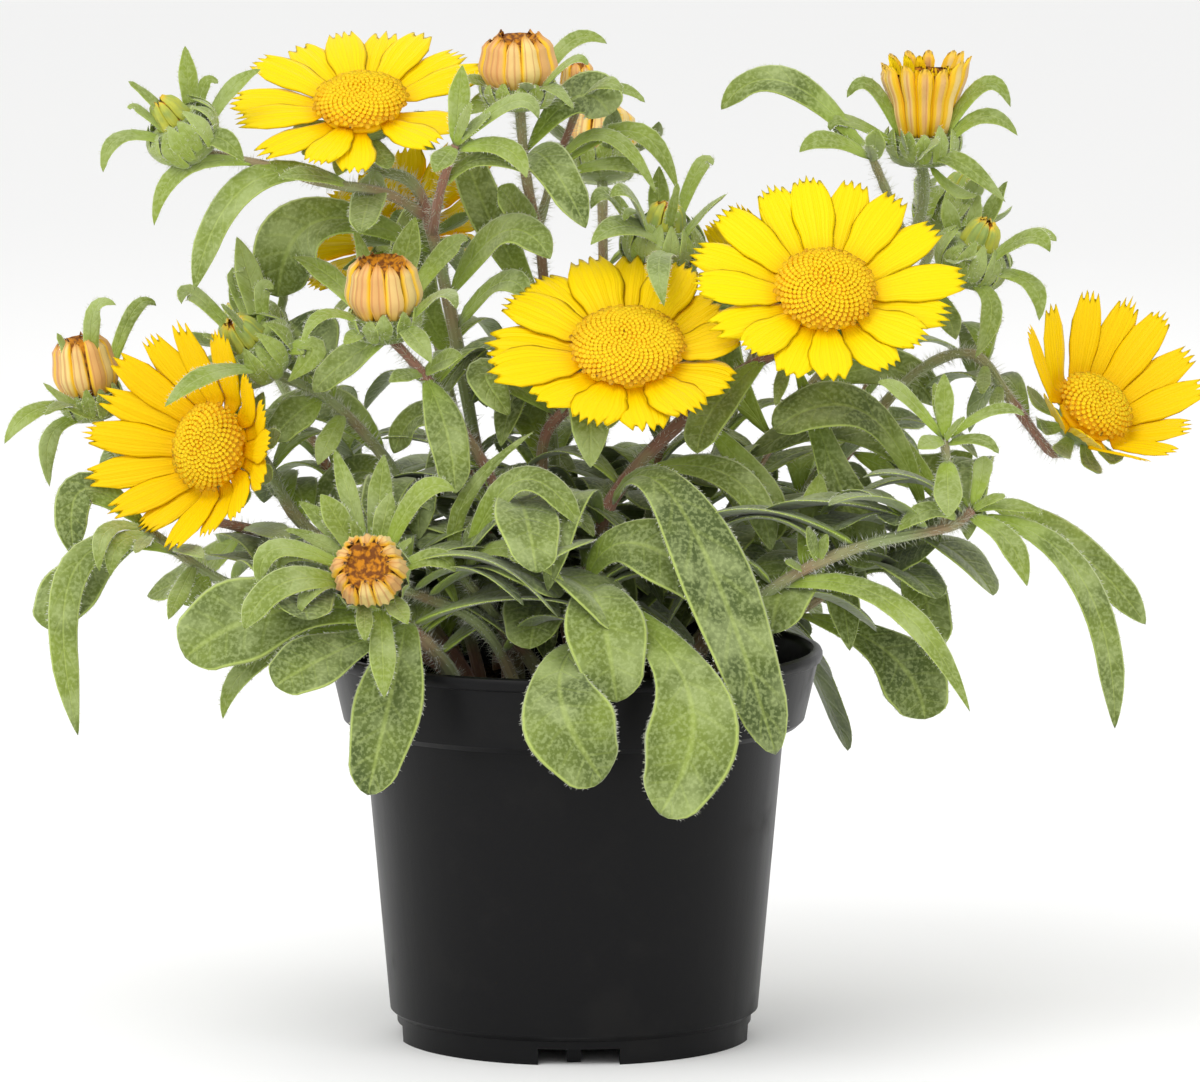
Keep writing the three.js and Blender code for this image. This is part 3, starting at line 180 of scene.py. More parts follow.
# A leaf is where its root is seen, then its middle where that is known, its tip, the tip's depth and
# the width. The small bracts at the end of a list are in the visual model only.
plants = {
    "stem_upper_left": {
        "stems": [
            stalk(1.6, [ground(-12, 8), [-20, 120, 8], [-29, 165, 5], [-34, 179, 5]], "bloom_upper_left"),
            stalk(1.3, [[-31, 172, 5], [-40, 177, -1], [-52, 179, -5], [-66, 183, -8]], "bud_a"),
            stalk(1.2, [[-30, 168, 5], [-28, 178, -5], [-25, 187, -9]]),
        ],
        "leaves": [
            [-82, 198, -82, 208, -6, 4], [-89, 190, -95, 190.5, -99, 185.7, -14, 3.5],
            [-79, 196, -78, 199.5, -75, 200, -6, 3], [-79, 186, -75, 188.5, -69.5, 183.5, -15, 5],
            [-66, 182, -82, 182, -88.5, 170, -16, 4], [-71.5, 190, -73, 198, -66, 203, -4, 3.5],
            [-48, 177, -62.5, 180, -15, 4.5], [-47, 175, -68, 179, -80, 156.5, -18, 6.5],
            [-42, 182, -45, 168.5, -16, 7], [-42, 162, -53, 171, -62.5, 155, 10, 13],
            [-26, 193, -23.5, 204, -9, 4.5], [-22, 191, -17.5, 193.5, -12, 3],
            [-18, 190, -13, 196, -7.5, 192.5, -14, 4.5], [-27, 190, -29.5, 181.3, -17, 5],
            [-22, 184, -15, 186.5, -10, 180, -15, 5], [-30, 178, -20, 184, -10, 181, -12, 4],
            [-25, 155, -15, 168.5, -5, 163, -10, 8.5], [-29, 150, -15, 158, -9, 152, -14, 6],
            [-22, 140, -34, 160, -30, 176, 26, 9], [-20, 130, -2, 146, 6, 140, 22, 9],
            [-88.5, 195, -94, 200.5, -14, 2.5], [-89.5, 191, -91, 194, -93.5, 194.5, -15, 2.2],
            [-24, 190, -21.5, 196, -13, 2.5],
        ],
    },
    "stem_top": {
        "stems": [
            stalk(1.4, [ground(0, 10), [-5, 130, 12], [-7, 165, 8], [-10, 180, 6]], "bud_e"),
            stalk(1.1, [[-8, 168, 8], [-4, 182, 12]], "bud_f"),
        ],
        "leaves": [
            [-10, 200, -10, 204.5, -6, 3], [-4, 202, -1, 208, 7, 207.8, 6, 4],
            [-4, 201, -1, 205, 3, 204.5, -3, 3], [-13, 200, -17, 204, -24, 200.5, -4, 5],
            [-20, 202, -24, 205, 8, 3], [-8, 198, -5, 201, 0, 199, -7, 3],
            [2, 199, 6, 200.5, 10.5, 199, 10, 4], [5, 197, 9, 199, 15, 196, 13, 3],
            [-10, 185, 0, 197, 7.5, 194, 16, 10], [-20, 180, -6, 184, 2.5, 169.5, -12, 9],
            [-17, 162, -16, 178, -3, 7], [-3, 183, 7, 189, 17.5, 176.5, 3, 4],
            [0, 180, 12, 190, 22, 177, 10, 5], [2, 178, 8, 183, 15, 180.5, 6, 3.5],
            [-7, 150, -18, 172, -24, 190, 24, 8], [-6, 140, 14, 158, 26, 160, 28, 9],
        ],
    },
    "stem_green_bud": {
        "stems": [stalk(1.4, [ground(9, 8), [18, 120, 15], [20, 145, 15]], "bud_h")],
        "leaves": [
            [19, 176, 18, 182, 5, 4.5], [16, 172, 12, 177, 7.5, 177, -2, 4.5],
            [16, 170, 13, 172.5, 10.5, 171, -8, 3], [24, 176, 26, 180, 29.5, 181.5, 5, 3.5],
            [28, 173, 32, 178, 3, 3], [27, 161, 12, 170, 3.5, 166.5, -8, 6],
            [25, 160, 18, 160, 19, 150, -26, 5], [12, 170, 8, 176, 3.5, 173.5, -6, 4],
            [20, 140, 36, 156, 46, 150, 14, 9], [20, 130, 6, 146, -6, 138, 28, 8],
            [22, 175, 22, 179, -4, 2.2],
        ],
    },
    "stem_upper_right": {
        "stems": [
            stalk(1.6, [ground(18, 12), [40, 122, 18], [62, 152, 22], [73, 172, 20]], "bud_i"),
            stalk(1.2, [[70, 166, 20], [66, 177, 12], [63, 184, 8]]),
            stalk(1.2, [[64, 154, 21], [74, 154, 15]], "bud_k"),
        ],
        "leaves": [
            [63, 191, 63, 199, 57.5, 197, 9, 3.5], [63, 190, 58, 192, 54, 190, 8, 3.2],
            [82, 194, 86, 199.5, 92, 195, 12, 4], [80, 188, 86, 193, 93.5, 189, 10, 4],
            [70, 184, 69, 190, 5, 4], [70, 180, 77, 187.5, 3, 5], [60, 183, 54, 188, 47.5, 185.5, 2, 4.5],
            [60, 184, 54.5, 190.5, 10, 4], [64, 184, 64, 190.5, 3, 4.5],
            [53, 178, 45, 200, 31, 194.5, 14, 6.5], [72, 177, 80, 184, 91, 175, 6, 4.5],
            [76, 178, 80, 177.5, 85, 176.5, 10, 3], [89, 172, 92, 178.5, 5, 3.5],
            [85, 173, 85.5, 176.5, 9, 3], [81, 168, 78, 176, 9, 4],
            [91, 167, 96, 171, 102, 170.3, 4, 3.5], [91, 164, 95, 168, 100, 165, -3, 4.5],
            [83, 168, 84, 163, -5, 3], [79, 167, 80, 162, -5, 3], [90, 157, 96, 158, 98, 150, -5, 4],
            [82, 155, 88, 153, 84.5, 142, -6, 4.5], [78, 154, 80.5, 146, 6, 5],
            [50, 138, 66, 140, 76, 132, 16, 9], [56, 146, 46, 168, 52, 176, 30, 8],
            [42, 126, 30, 146, 36, 160, 30, 9], [61, 184, 62, 187, -2, 2.5], [88, 157, 94, 159, 0, 2.5],
        ],
    },
    "stem_far_right": {
        "stems": [
            stalk(1.4, [ground(22, 2), [50, 112, 10], [72, 139, 12], [84, 143, 8], [93, 132, 4]],
                  "bloom_far_right"),
        ],
        "leaves": [
            [86, 140, 86, 134.5, -5, 3], [89, 137, 88.5, 130.5, -4, 3],
            [60, 124, 72, 118, 84, 122, 16, 8], [54, 118, 62, 128, 74, 128, 34, 8],
        ],
    },
    "stem_right": {
        "stems": [
            stalk(1.7, [ground(9, -8), [6, 108, -19], [25, 131, -13], [40, 142, -10]], "bloom_right"),
        ],
        "leaves": [
            [42, 140, 30, 132, 26, 122, -26, 8], [47, 143, 42.5, 132, -22, 3],
            [46, 140, 56, 115, 62.5, 98, -24, 10], [24, 108, 33, 117, 41.5, 101.5, -30, 7],
            [34, 124, 40, 112, 38, 104, -22, 8], [5, 109, 22, 111, 42.5, 58.5, -55, 13],
        ],
    },
    "stem_centre": {
        "stems": [
            stalk(1.5, [ground(0, -6), [-5, 104, -8], [-6, 126, -8], [2, 133, -12]], "bloom_centre"),
        ],
        "leaves": [
            [-10, 134, 2, 136, 3.5, 119, -34, 9], [-8, 135, -18, 139, -13.5, 130, -20, 8],
            [-5, 118, -10, 130, -16, 126, 4, 8],
        ],
    },
    "stem_salmon_bud": {
        "stems": [
            stalk(1.4, [ground(-14, -8), [-15, 110, -14], [-24, 128, -15], [-32, 139, -15]], "bud_b"),
        ],
        "leaves": [
            [-48, 158, -60, 162, -14, 5], [-47, 152, -52, 155, -57, 154, -20, 3],
            [-46, 149.5, -48.5, 145, -21, 3.5], [-36, 164, -33.5, 171.5, -10, 6],
            [-44, 164, -46.5, 169, -10, 3], [-32, 160, -28, 163, -22.5, 166, -12, 4.5],
            [-31, 152.5, -28, 156, -24.5, 154, -17, 3.5], [-37, 150, -34, 147, -30, 141, -25, 5],
            [-31, 139, -39, 137, -22, 4], [-31, 139, -23.5, 142.5, -21, 5],
            [-31, 139, -27, 127, -25, 113.5, -28, 8], [-38, 141, -55, 135, -14, 7],
            [-22, 126, -32, 130, -38, 122, -6, 7],
        ],
    },
    "stem_green_left": {
        "stems": [stalk(1.5, [ground(-20, 0), [-34, 112, 2], [-50, 132, -2]], "bud_c")],
        "leaves": [
            [-68, 152, -71.5, 167, -6, 5.5], [-68.5, 152, -72, 156, -70, 159, -15, 3],
            [-75, 150, -80, 153.5, -83.5, 152, -14, 4], [-67, 151, -66, 155, -63.5, 156, -10, 3.5],
            [-64, 136, -76, 139.5, -86, 132.5, -24, 4.5], [-77, 142, -81, 138.5, -18, 4],
            [-52, 136, -64, 124, -13, 8], [-50, 128, -54, 119.5, -15, 5],
            [-46, 145, -55, 144, -60.5, 137, -12, 6], [-55, 137, -54, 139, -51, 134, -16, 5],
            [-48, 138, -60, 150, 10, 14], [-40, 120, -52, 132, -66, 128, 20, 9],
            [-36, 114, -46, 118, -54, 108, 12, 9], [-71, 151, -74.5, 153.5, -17, 2.5],
            [-75, 147, -78.5, 147, -16, 2.2],
        ],
    },
    "stem_left": {
        "stems": [
            stalk(1.6, [ground(-22, -8), [-42, 97, -5], [-58, 108, 0]], "bloom_left"),
            stalk(1.3, [[-48, 101, -3], [-68, 106, 9], [-88, 112, 15]], "bud_d"),
        ],
        "leaves": [
            [-99, 145, -101.5, 150, -96.5, 153.3, 2, 4], [-95.5, 142, -94, 150, -88.5, 152.3, 20, 3.5],
            [-107, 135.5, -113, 139.5, -119.5, 133, 6, 4], [-108, 137, -111, 139, 4, 3],
            [-98, 129.5, -104, 131, -112, 137, 3, 3], [-103, 128, -110, 126, -110.5, 115, 5, 4],
            [-68, 107, -60, 103.5, -22, 6], [-80, 110, -90, 122, -100, 118, 26, 8],
            [-70, 106, -78, 98, -90, 92, 26, 8], [-106.5, 143, -109, 147.5, 6, 2.5],
        ],
    },
    "shoot_left": {
        "stems": [stalk(1.5, [ground(-24, -16), [-52, 88, -15], [-74, 95, -11], [-90, 106, -7]])],
        "leaves": [
            [-90, 112, -104, 113, -106, 98.5, -24, 8], [-92, 104, -102, 97, -111, 85, -22, 11],
            [-92, 107, -98, 106, -100, 97, -29, 4], [-85, 105, -95, 105, -98, 99.5, -32, 5],
            [-92, 107, -92.5, 101, -28, 3], [-84, 99, -105, 98, -104.5, 62.5, -34, 6.5],
            [-80, 100, -85.5, 87, -30, 4], [-77, 110, -78, 100, -27, 4], [-75, 101, -82, 90, -12, 8],
        ],
    },
    "shoot_right": {
        "stems": [
            stalk(1.5, [ground(20, -18), [44, 95, -34], [62, 103, -37], [80, 107, -35], [84, 110, -34]]),
            stalk(1.2, [[78, 106.5, -35], [79, 116, -33], [78, 125, -32]]),
        ],
        "leaves": [
            [79, 127, 78, 139, -30, 4], [77, 127, 72.5, 123, -38, 4],
            [80, 124, 85, 125, 89.5, 122, -38, 3.2], [75, 126, 70, 134, 64, 137, -36, 3.5],
            [82, 126, 88, 131, 95, 130, -30, 3], [79, 121, 79, 108.5, -44, 6],
            [84, 110, 86, 118, 86, 121.5, -30, 4], [82, 107, 75, 110, 68, 105.5, -42, 4.5],
            [84, 107, 91, 104, 95.5, 94, -40, 5.5], [88, 108, 99, 109.5, -32, 3.2],
            [46, 99, 52, 118, -20, 6], [49, 101, 49, 106.5, -42, 2.8],
            [45, 92, 66, 91, 83.5, 67.5, -52, 6], [86, 105, 106, 97, 114, 64, -30, 6.5],
            [76, 127, 76, 137, -27, 2.5], [79, 126, 82.5, 129.5, -38, 2.5], [88, 110, 91, 113, -37, 2.5],
            [48, 100, 44.5, 99, -40, 2.6], [51, 101, 53.5, 105, -40, 2.6],
        ],
    },
    "shoot_low_right": {
        "stems": [stalk(1.6, [ground(28, -8), [52, 92, -8], [72, 104, -12], [86, 113, -14]])],
        "leaves": [
            [93, 117, 104, 103, 120.5, 86, -16, 8], [73, 108, 62, 130, 42, 127, -19, 10],
            [78, 112, 60, 127, 36, 121, 0, 8], [60, 96, 77, 103, -28, 14], [70, 102, 77, 80.5, -22, 9],
            [46, 88, 66, 80, 74, 66, -14, 12],
        ],
    },
    "stem_low_bud": {
        "stems": [stalk(1.5, [ground(-12, -24), [-20, 86, -31], [-32, 92, -32]], "bud_m")],
        "leaves": [
            [-49, 103, -53.5, 113.5, -36, 5.5], [-41, 105, -38.5, 114, -34, 4.5],
            [-35, 98, -30, 100, -25, 97, -42, 4.5], [-50, 101, -57.5, 104.5, -38, 3.5],
            [-50, 99, -58, 101, -62, 97, -42, 4], [-53, 100, -62, 102, -66, 93, -46, 5],
            [-49, 94, -54, 94, -58, 88, -50, 4], [-47, 92, -60, 95, -69.5, 85, -54, 6.5],
            [-46, 91, -44, 82.5, -54, 3.5], [-40, 90, -40, 70.5, -58, 5.5], [-39, 91, -35, 86, -50, 4.5],
            [-52, 104, -58, 112, -30, 4], [-36, 104, -33, 113, -25, 114, -36, 5],
            [-46, 106, -50.5, 123, -28, 4], [-42, 106, -40, 122, -24, 5], [-45, 103, -47, 108, -37, 2.5],
            [-36, 102, -34, 104, -38, 2.2], [-56, 104, -61, 106, -34, 2.5],
        ],
    },
    "rosette_front": {
        "stems": [stalk(2, [ground(4, -30), [2, 88, -33], [3, 98, -32]])],
        "leaves": [
            [27, 91, 24, 72, -56, 18, 46, -62, 16], [-11, 81, -3, 70, -57, 6, 49.5, -61, 16],
            [-6, 88, 5, 91, 9, 70, -52, 14], [-5, 94, 12, 103, 30, 92, -42, 13],
        ],
    },
    "rosette_front_left": {
        "stems": [stalk(1.8, [ground(-6, -18), [-17, 88, -26], [-24, 97, -29]])],
        "leaves": [
            [-18, 86, -25, 107, -8, 127, -26, 3.5], [-22, 103, -12, 116, 1.5, 106.5, -40, 7],
            [-28, 94, -15, 102, -2, 95, -46, 5], [-20, 99, -12, 104, -7, 101, -36, 4],
        ],
    },
    "rosette_left": {
        "stems": [stalk(2, [ground(-24, -26), [-31, 82, -35], [-36, 86, -36]])],
        "leaves": [
            [-40, 88, -60, 89, -82, 79, -44, 16], [-40, 84, -50, 80, -63, 73, -54, 11],
            [-40, 84, -64, 80, -74, 66, -38, 5.5], [-33, 90, -37, 78, -43.5, 50, -52, 12],
        ],
    },
}

# The far side's stems and rosettes, whose leaves are spread evenly
backPlants = {
    "stem_back_left": {
        "from": [-14, 20], "through": [-26, 40, 128], "to": "bloom_back_left", "leaves": 7,
    },
    "stem_back_left_bud": {
        "from": [-24, 12], "through": [-50, 32, 112], "to": "bud_back_left", "leaves": 6,
    },
    "stem_back_middle": {"from": [2, 24], "through": [6, 52, 130], "to": "bud_back_middle", "leaves": 8},
    "stem_back_right": {
        "from": [14, 22], "through": [32, 46, 122], "to": "bloom_back_right", "leaves": 7,
    },
    "stem_back_right_bud": {
        "from": [26, 14], "through": [60, 38, 128], "to": "bud_back_right", "leaves": 7,
    },
    "rosette_back_left": {"from": [-16, 30], "height": 90, "leaves": 6, "turn": 2.4},
    "rosette_back_right": {"from": [20, 30], "height": 90, "leaves": 6, "turn": 0.8},
}

# The colour that each flower's rays lean to: 0 is lemon and 1 is deep gold
bloomGold = {
    "bloom_upper_left": 0.12, "bloom_right": 0.0, "bloom_centre": 0.3, "bloom_left": 0.5,
    "bloom_far_right": 0.4, "bloom_back_left": 0.25, "bloom_back_right": 0.35,
}

# How a leaf's solid may be bent aside, clear of its neighbours: its tip to the back and up, and the
# share of that by which its middle moves. A bend is found by how many corners lie on the solid's.
tipMoves = [
    [0, 0], [-3, 0], [3, 0], [-6, 0], [6, 0], [0, 3], [0, -3], [-4, 4], [4, 4], [-9, 0], [9, 0],
    [-5, -4], [5, -4], [-12, 0], [12, 0], [0, 6], [0, -6], [-7, 7], [7, 7], [-16, 0], [16, 0],
    [-9, -8], [9, -8],
]
middleShares = [0.4, 0.95]
bendMatch = {"within": 0.12, "least": 3}


stemRun = {"discHeight": 3.4, "before": 13, "inside": 4, "intoCup": 1.5, "overSoil": 3}


def bloomPlace(bloom):
    # a flower's own directions: the top of its green base, the way it faces and two ways across
    facing = Vector(bloom["faces"]).normalized()
    centre = Vector(bloom["world"]) if "world" in bloom else seen(bloom["at"])
    right = upward.cross(facing).normalized()
    return {"origin": centre - facing * stemRun["discHeight"], "facing": facing, "right": right,
            "over": facing.cross(right)}


def onBloom(place, angle, out, side, height):
    # a point at a distance out, to the side and above the top of a flower's or bud's base
    way = place["right"] * math.cos(angle) + place["over"] * math.sin(angle)
    aside = place["facing"].cross(way)
    return place["origin"] + way * out + aside * side + place["facing"] * height


def rayHeight(bloom, out):
    # how high a ray stands at a distance from the flower's middle
    start = bloom["disc"] + 1.4
    share = max(out - start, 0) / (bloom["reach"] - start)
    return bloom["reach"] * share * (bloom["rise"] + 0.1 * (1 - share))


def raysOf(bloom):
    # the angle and length of each ray, from where its tip is seen or by an even turn
    if "tips" not in bloom:
        return [(ray / bloom["count"] * turn, bloom["reach"] * (0.96 + 0.05 * math.sin(5 * ray)))
                for ray in range(bloom["count"])]
    place = bloomPlace(bloom)
    rays = []
    for across, up in bloom["tips"]:
        near = seen([across, up, -60])
        line = seen([across, up, 60]) - near
        height = rayHeight(bloom, bloom["reach"])
        for settling in range(12):
            start = (near - place["origin"]).dot(place["facing"]) - height
            spot = near + line * (-start / line.dot(place["facing"])) - place["origin"]
            flat = math.hypot(spot.dot(place["right"]), spot.dot(place["over"]))
            height = rayHeight(bloom, min(flat, bloom["reach"]))
        length = min(max(flat, 0.86 * bloom["reach"]), 1.06 * bloom["reach"])
        rays.append((math.atan2(spot.dot(place["over"]), spot.dot(place["right"])), length))
    rays.sort()
    step = turn / len(rays)
    lag = sum(angle - index * step for index, (angle, length) in enumerate(rays)) / len(rays)
    return [(0.45 * angle + 0.55 * (lag + index * step), length)
            for index, (angle, length) in enumerate(rays)]


def budPlace(bud):
    # a bud's own directions: its foot, the way it points and two ways across
    facing = bud["lean"].normalized()
    right = Vector((0.1, 1, 0)).cross(facing).normalized()
    return {"origin": bud["foot"], "facing": facing, "right": right, "over": facing.cross(right),
            "length": bud["length"]}


def stemPoints(stem):
    # the points of a stem, with its run into the flower or bud at its end
    grounded = isinstance(stem["path"][0], Vector)
    points = [place.copy() if isinstance(place, Vector) else seen(place) for place in stem["path"]]
    if stem["to"] in blooms:
        place = bloomPlace(blooms[stem["to"]])
        points.append(place["origin"] - place["facing"] * stemRun["before"])
        points.append(place["origin"] - place["facing"] * stemRun["inside"])
    elif stem["to"]:
        place = budPlace(buds[stem["to"]])
        points.append(place["origin"] + place["facing"] * stemRun["intoCup"])
    if grounded:
        points.insert(1, Vector((points[0].x, points[0].y, soilForm["top"] + stemRun["overSoil"])))
    return points


def curvePoint(points, share):
    # a point of a smooth curve through the points
    spans = len(points) - 1
    first = min(int(spans * share), spans - 1)
    weight = spans * share - first
    near, far = points[first], points[first + 1]
    before = points[first - 1] if first > 0 else near * 2 - far
    after = points[first + 2] if first + 2 <= spans else far * 2 - near
    gaps = [(end - start).length ** 0.5 for start, end in ((before, near), (near, far), (far, after))]
    leaving = (near - before) / gaps[0] - (far - before) / (gaps[0] + gaps[1]) + (far - near) / gaps[1]
    coming = (far - near) / gaps[1] - (after - near) / (gaps[1] + gaps[2]) + (after - far) / gaps[2]
    leaving, coming = leaving * gaps[1], coming * gaps[1]
    return (near + leaving * weight
            + (far * 3 - near * 3 - leaving * 2 - coming) * weight ** 2
            + (near * 2 - far * 2 + leaving + coming) * weight ** 3)


def stemMiddles(stem, finer=1):
    # even steps along a stem's smooth middle line
    points = stemPoints(stem)
    steps = (len(points) + 2) * finer
    return [curvePoint(points, step / steps) for step in range(steps + 1)]


def spotsOn(stem):
    # the places along a stem that a leaf may grow from, above the soil
    middles = stemMiddles(stem)
    first = 2 if isinstance(stem["path"][0], Vector) else 0
    return [middles[step].lerp(middles[step + 1], (part + 0.5) / 4)
            for step in range(first, len(middles) - 1) for part in range(4)]


def leafRoot(plant, across, up, tipDepth):
    # the place on a plant's stems, or inside a bud's cup, that a leaf seen to leave at a point grows from
    want = Vector((across, up))
    best = (math.inf, None)
    for stem in plant["stems"]:
        for spot in spotsOn(stem):
            distance = (onSheet(spot) - want).length
            if distance < best[0]:
                best = (distance, spot)
        if stem["to"] in buds:
            best = nearestInCup(buds[stem["to"]], want, tipDepth, best)
    return best[1]


def nearestInCup(bud, want, tipDepth, best):
    place = budPlace(bud)
    facing = place["facing"]
    centre = place["origin"] + facing * (0.5 * place["length"] * bud["cup"])
    middle = onSheet(centre)
    away = want - middle
    distance = max(away.length - bud["radius"], 0)
    if distance >= best[0]:
        return best
    if away.length > 0.5 * bud["radius"]:
        away = away * (0.5 * bud["radius"] / away.length)
    inward = 0.45 * math.sqrt(bud["radius"] ** 2 - away.length_squared) * min(1, place["length"] / 14)
    depth = centre.y + (-inward if tipDepth < centre.y else inward)
    along = facing.dot(Vector((away.x, depth - centre.y, away.y)))
    limit = 0.36 * place["length"] * bud["cup"]
    shift = min(max(along, -limit), 0) - along
    return distance, seen([middle.x + away.x, middle.y + away.y, depth]) + facing * shift


def readLeaf(plant, row):
    # a leaf of the tables as its root, middle, tip, width and the way its upper face looks
    width, tipDepth = row[-1], row[-2]
    root = leafRoot(plant, row[0], row[1], tipDepth)
    tip = seen([row[-4], row[-3], tipDepth])
    if len(row) > 6:
        middle = seen([row[2], row[3], row[4] if len(row) == 9 else 0.45 * root.y + 0.55 * tipDepth])
    else:
        middle = root.lerp(tip, 0.5) + upward * (0.1 * abs(tip.x - root.x))
    return {"root": root, "middle": middle, "tip": tip, "width": width, "face": Vector((0, -0.75, 0.66))}


def backLeaves(plant, stem, order):
    # the leaves of a far-side stem, turned to all sides
    spots = spotsOn(stem)
    leaves = []
    for leaf in range(plant["leaves"]):
        share = leaf / plant["leaves"]
        if "height" in plant:
            along = 0.4 + 0.5 * share
            heading = plant["turn"] + (share - 0.5) * 2.6
            reach = 35 + 7 * math.sin(2.1 * leaf + order)
            drop = -17 - 12 * math.sin(1.9 * leaf + order)
            arch, width = 4, 14 - (leaf % 3) * 1.5
        else:
            along = 0.12 + 0.74 * share
            heading = 1.5 * math.sin(2.4 * leaf + order)
            reach = 30 - 12 * along + 3 * math.sin(4 * leaf + order)
            drop = 8 * along - 4
            arch, width = 8, 9 - 4 * along
        root = spots[int(along * len(spots))]
        if "height" not in plant:
            heading += math.atan2(root.y, root.x)
        out = Vector((math.cos(heading), math.sin(heading), 0))
        leaves.append({
            "root": root, "middle": root + out * (reach * 0.52) + upward * arch,
            "tip": root + out * reach + upward * drop, "width": width, "face": out * 0.5 + upward * 0.85,
        })
    return leaves


def backBracts(bud):
    # the short bracts round a far-side bud
    place = budPlace(bud)
    bracts = []
    for bract in range(5):
        points = [onBloom(place, bract / 5 * turn, out * bud["radius"], 0, height * place["length"])
                  for out, height in ((0.45, 0.3), (1.35, 0.52), (1.7 + 0.4 * (bract % 2), 0.85))]
        bracts.append({"root": points[0], "middle": points[1], "tip": points[2], "width": 4.2,
                       "face": place["facing"]})
    return bracts


# A leaf's half width along its length, the width it starts at, how young it looks and how its end
# is rounded; a short bract has fewer steps
bladeForms = {
    "spoon": {"stations": [[0.1, 0.2], [0.4, 0.56], [0.72, 1], [0.93, 0.72]],
              "cells": 16, "steps": 22, "round": [1.4, 0.62], "full": 1.22,
              "from": 10, "age": 0.2, "thick": 0.36},
    "narrow": {"stations": [[0.12, 0.4], [0.5, 0.96], [0.84, 0.78]],
               "cells": 12, "steps": 17, "round": [1.4, 0.8], "full": 1.12,
               "from": 6.5, "age": 0.45, "thick": 0.3},
    "short": {"stations": [[0.16, 0.6], [0.6, 1]],
              "cells": 12, "steps": 12, "round": [1.6, 0.9], "full": 1.05,
              "from": 0, "age": 0.75, "thick": 0.3},
}


def smoothOutline(stations):
    # the half width at even steps along a leaf, on a smooth curve through its stations
    points = [Vector((0.04, 0.02, 0))] + [Vector((place, share, 0)) for place, share in stations]
    curve = [curvePoint(points, step / 60) for step in range(61)]
    outline = []
    for step in range(101):
        place = min(max(step / 100, curve[0].x), curve[-1].x)
        index = next(index for index in range(60) if curve[index + 1].x >= place)
        low, high = curve[index], curve[index + 1]
        outline.append(low.y + (high.y - low.y) * (place - low.x) / max(high.x - low.x, 1e-6))
    return outline


def bladeForm(width):
    return next(form for form in bladeForms.values() if width >= form["from"])


def bladeAt(leaf, along):
    # the middle, the way across and the upward way of a leaf at a share of its length
    root, tip = leaf["root"], leaf["tip"]
    control = leaf["middle"] * 2 - (root + tip) * 0.5
    centre = root * (1 - along) ** 2 + control * (2 * along * (1 - along)) + tip * along ** 2
    way = (control - root) * (1 - along) + (tip - control) * along
    across = way.cross(leaf["face"]).normalized()
    return centre, across, across.cross(way).normalized()


def bladeCorners(leaf):
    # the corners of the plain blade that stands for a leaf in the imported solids
    corners = [leaf["tip"]]
    for along, share in bladeForm(leaf["width"])["stations"]:
        centre, across, normal = bladeAt(leaf, along)
        half = max(0.5 * leaf["width"] * share, 0.7)
        rise = normal * (0.16 * half)
        corners += [centre - across * half + rise, centre + across * half + rise, centre - normal * 0.6]
    return corners


def settledLeaf(leaf, corners):
    # the leaf bent as its solid is: the bend whose corners most of the solid's corners match
    best = (0, None)
    for share in middleShares:
        for deep, up in tipMoves:
            shift = Vector((0, deep, up))
            bent = dict(leaf, middle=leaf["middle"] + shift * share, tip=leaf["tip"] + shift)
            matches = sum(corners.find(corner)[2] < bendMatch["within"] for corner in bladeCorners(bent))
            if matches > best[0]:
                best = (matches, bent)
    return best[1] if best[0] >= bendMatch["least"] else None


def addSheet(shape, around, steps, place, tone=0.5, material=0):
    # a closed sheet of cells: each vertex is put in its place, and the edges that meet are merged
    grid = bmesh.ops.create_grid(shape, x_segments=around, y_segments=steps, size=0.5, calc_uvs=True)
    tones = shape.verts.layers.float["tone"]
    for vert in grid["verts"]:
        vert.co = place(vert.co.x + 0.5, vert.co.y + 0.5)
        vert[tones] = tone
        for face in vert.link_faces:
            face.material_index = material
    bmesh.ops.remove_doubles(shape, verts=grid["verts"], dist=mergeGap)


def newShape():
    shape = bmesh.new()
    shape.loops.layers.uv.new("UVMap")
    shape.verts.layers.float.new("tone")
    return shape


def meshOf(shape, name):
    mesh = bpy.data.meshes.new(name)
    shape.to_mesh(mesh)
    shape.free()
    return mesh


def link(thing):
    bpy.context.scene.collection.objects.link(thing)
    return thing


def addCopies(shape, unit, spots, material=0):
    # copies of a small mesh, each stretched and turned to its own three ways and given its tone
    holder = link(bpy.data.objects.new("copied", unit))
    array = holder.modifiers.new("copies", "ARRAY")
    array.count = len(spots)
    ready = holder.evaluated_get(bpy.context.evaluated_depsgraph_get())
    mesh = bpy.data.meshes.new_from_object(ready)
    points = []
    tones = []
    for origin, right, over, facing, tone in spots:
        for vert in unit.vertices:
            points.extend(origin + right * vert.co.x + over * vert.co.y + facing * vert.co.z)
            tones.append(tone)
    mesh.vertices.foreach_set("co", points)
    mesh.attributes["tone"].data.foreach_set("value", tones)
    mesh.polygons.foreach_set("material_index", [material] * len(mesh.polygons))
    shape.from_mesh(mesh)
    bpy.data.objects.remove(holder)
    bpy.data.meshes.remove(mesh)


def addPiece(name, shape, node, slotName, finishes):
    # a finished piece in metres that rides on the plant's one body in its node's stead
    bmesh.ops.recalc_face_normals(shape, faces=shape.faces)
    shape.transform(Matrix.Scale(mm, 4))
    for face in shape.faces:
        face.smooth = True
    mesh = meshOf(shape, name)
    for finish in finishes:
        mesh.materials.append(finish)
    piece = link(bpy.data.objects.new(name, mesh))
    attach(piece, "root")
    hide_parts(node)
    return piece


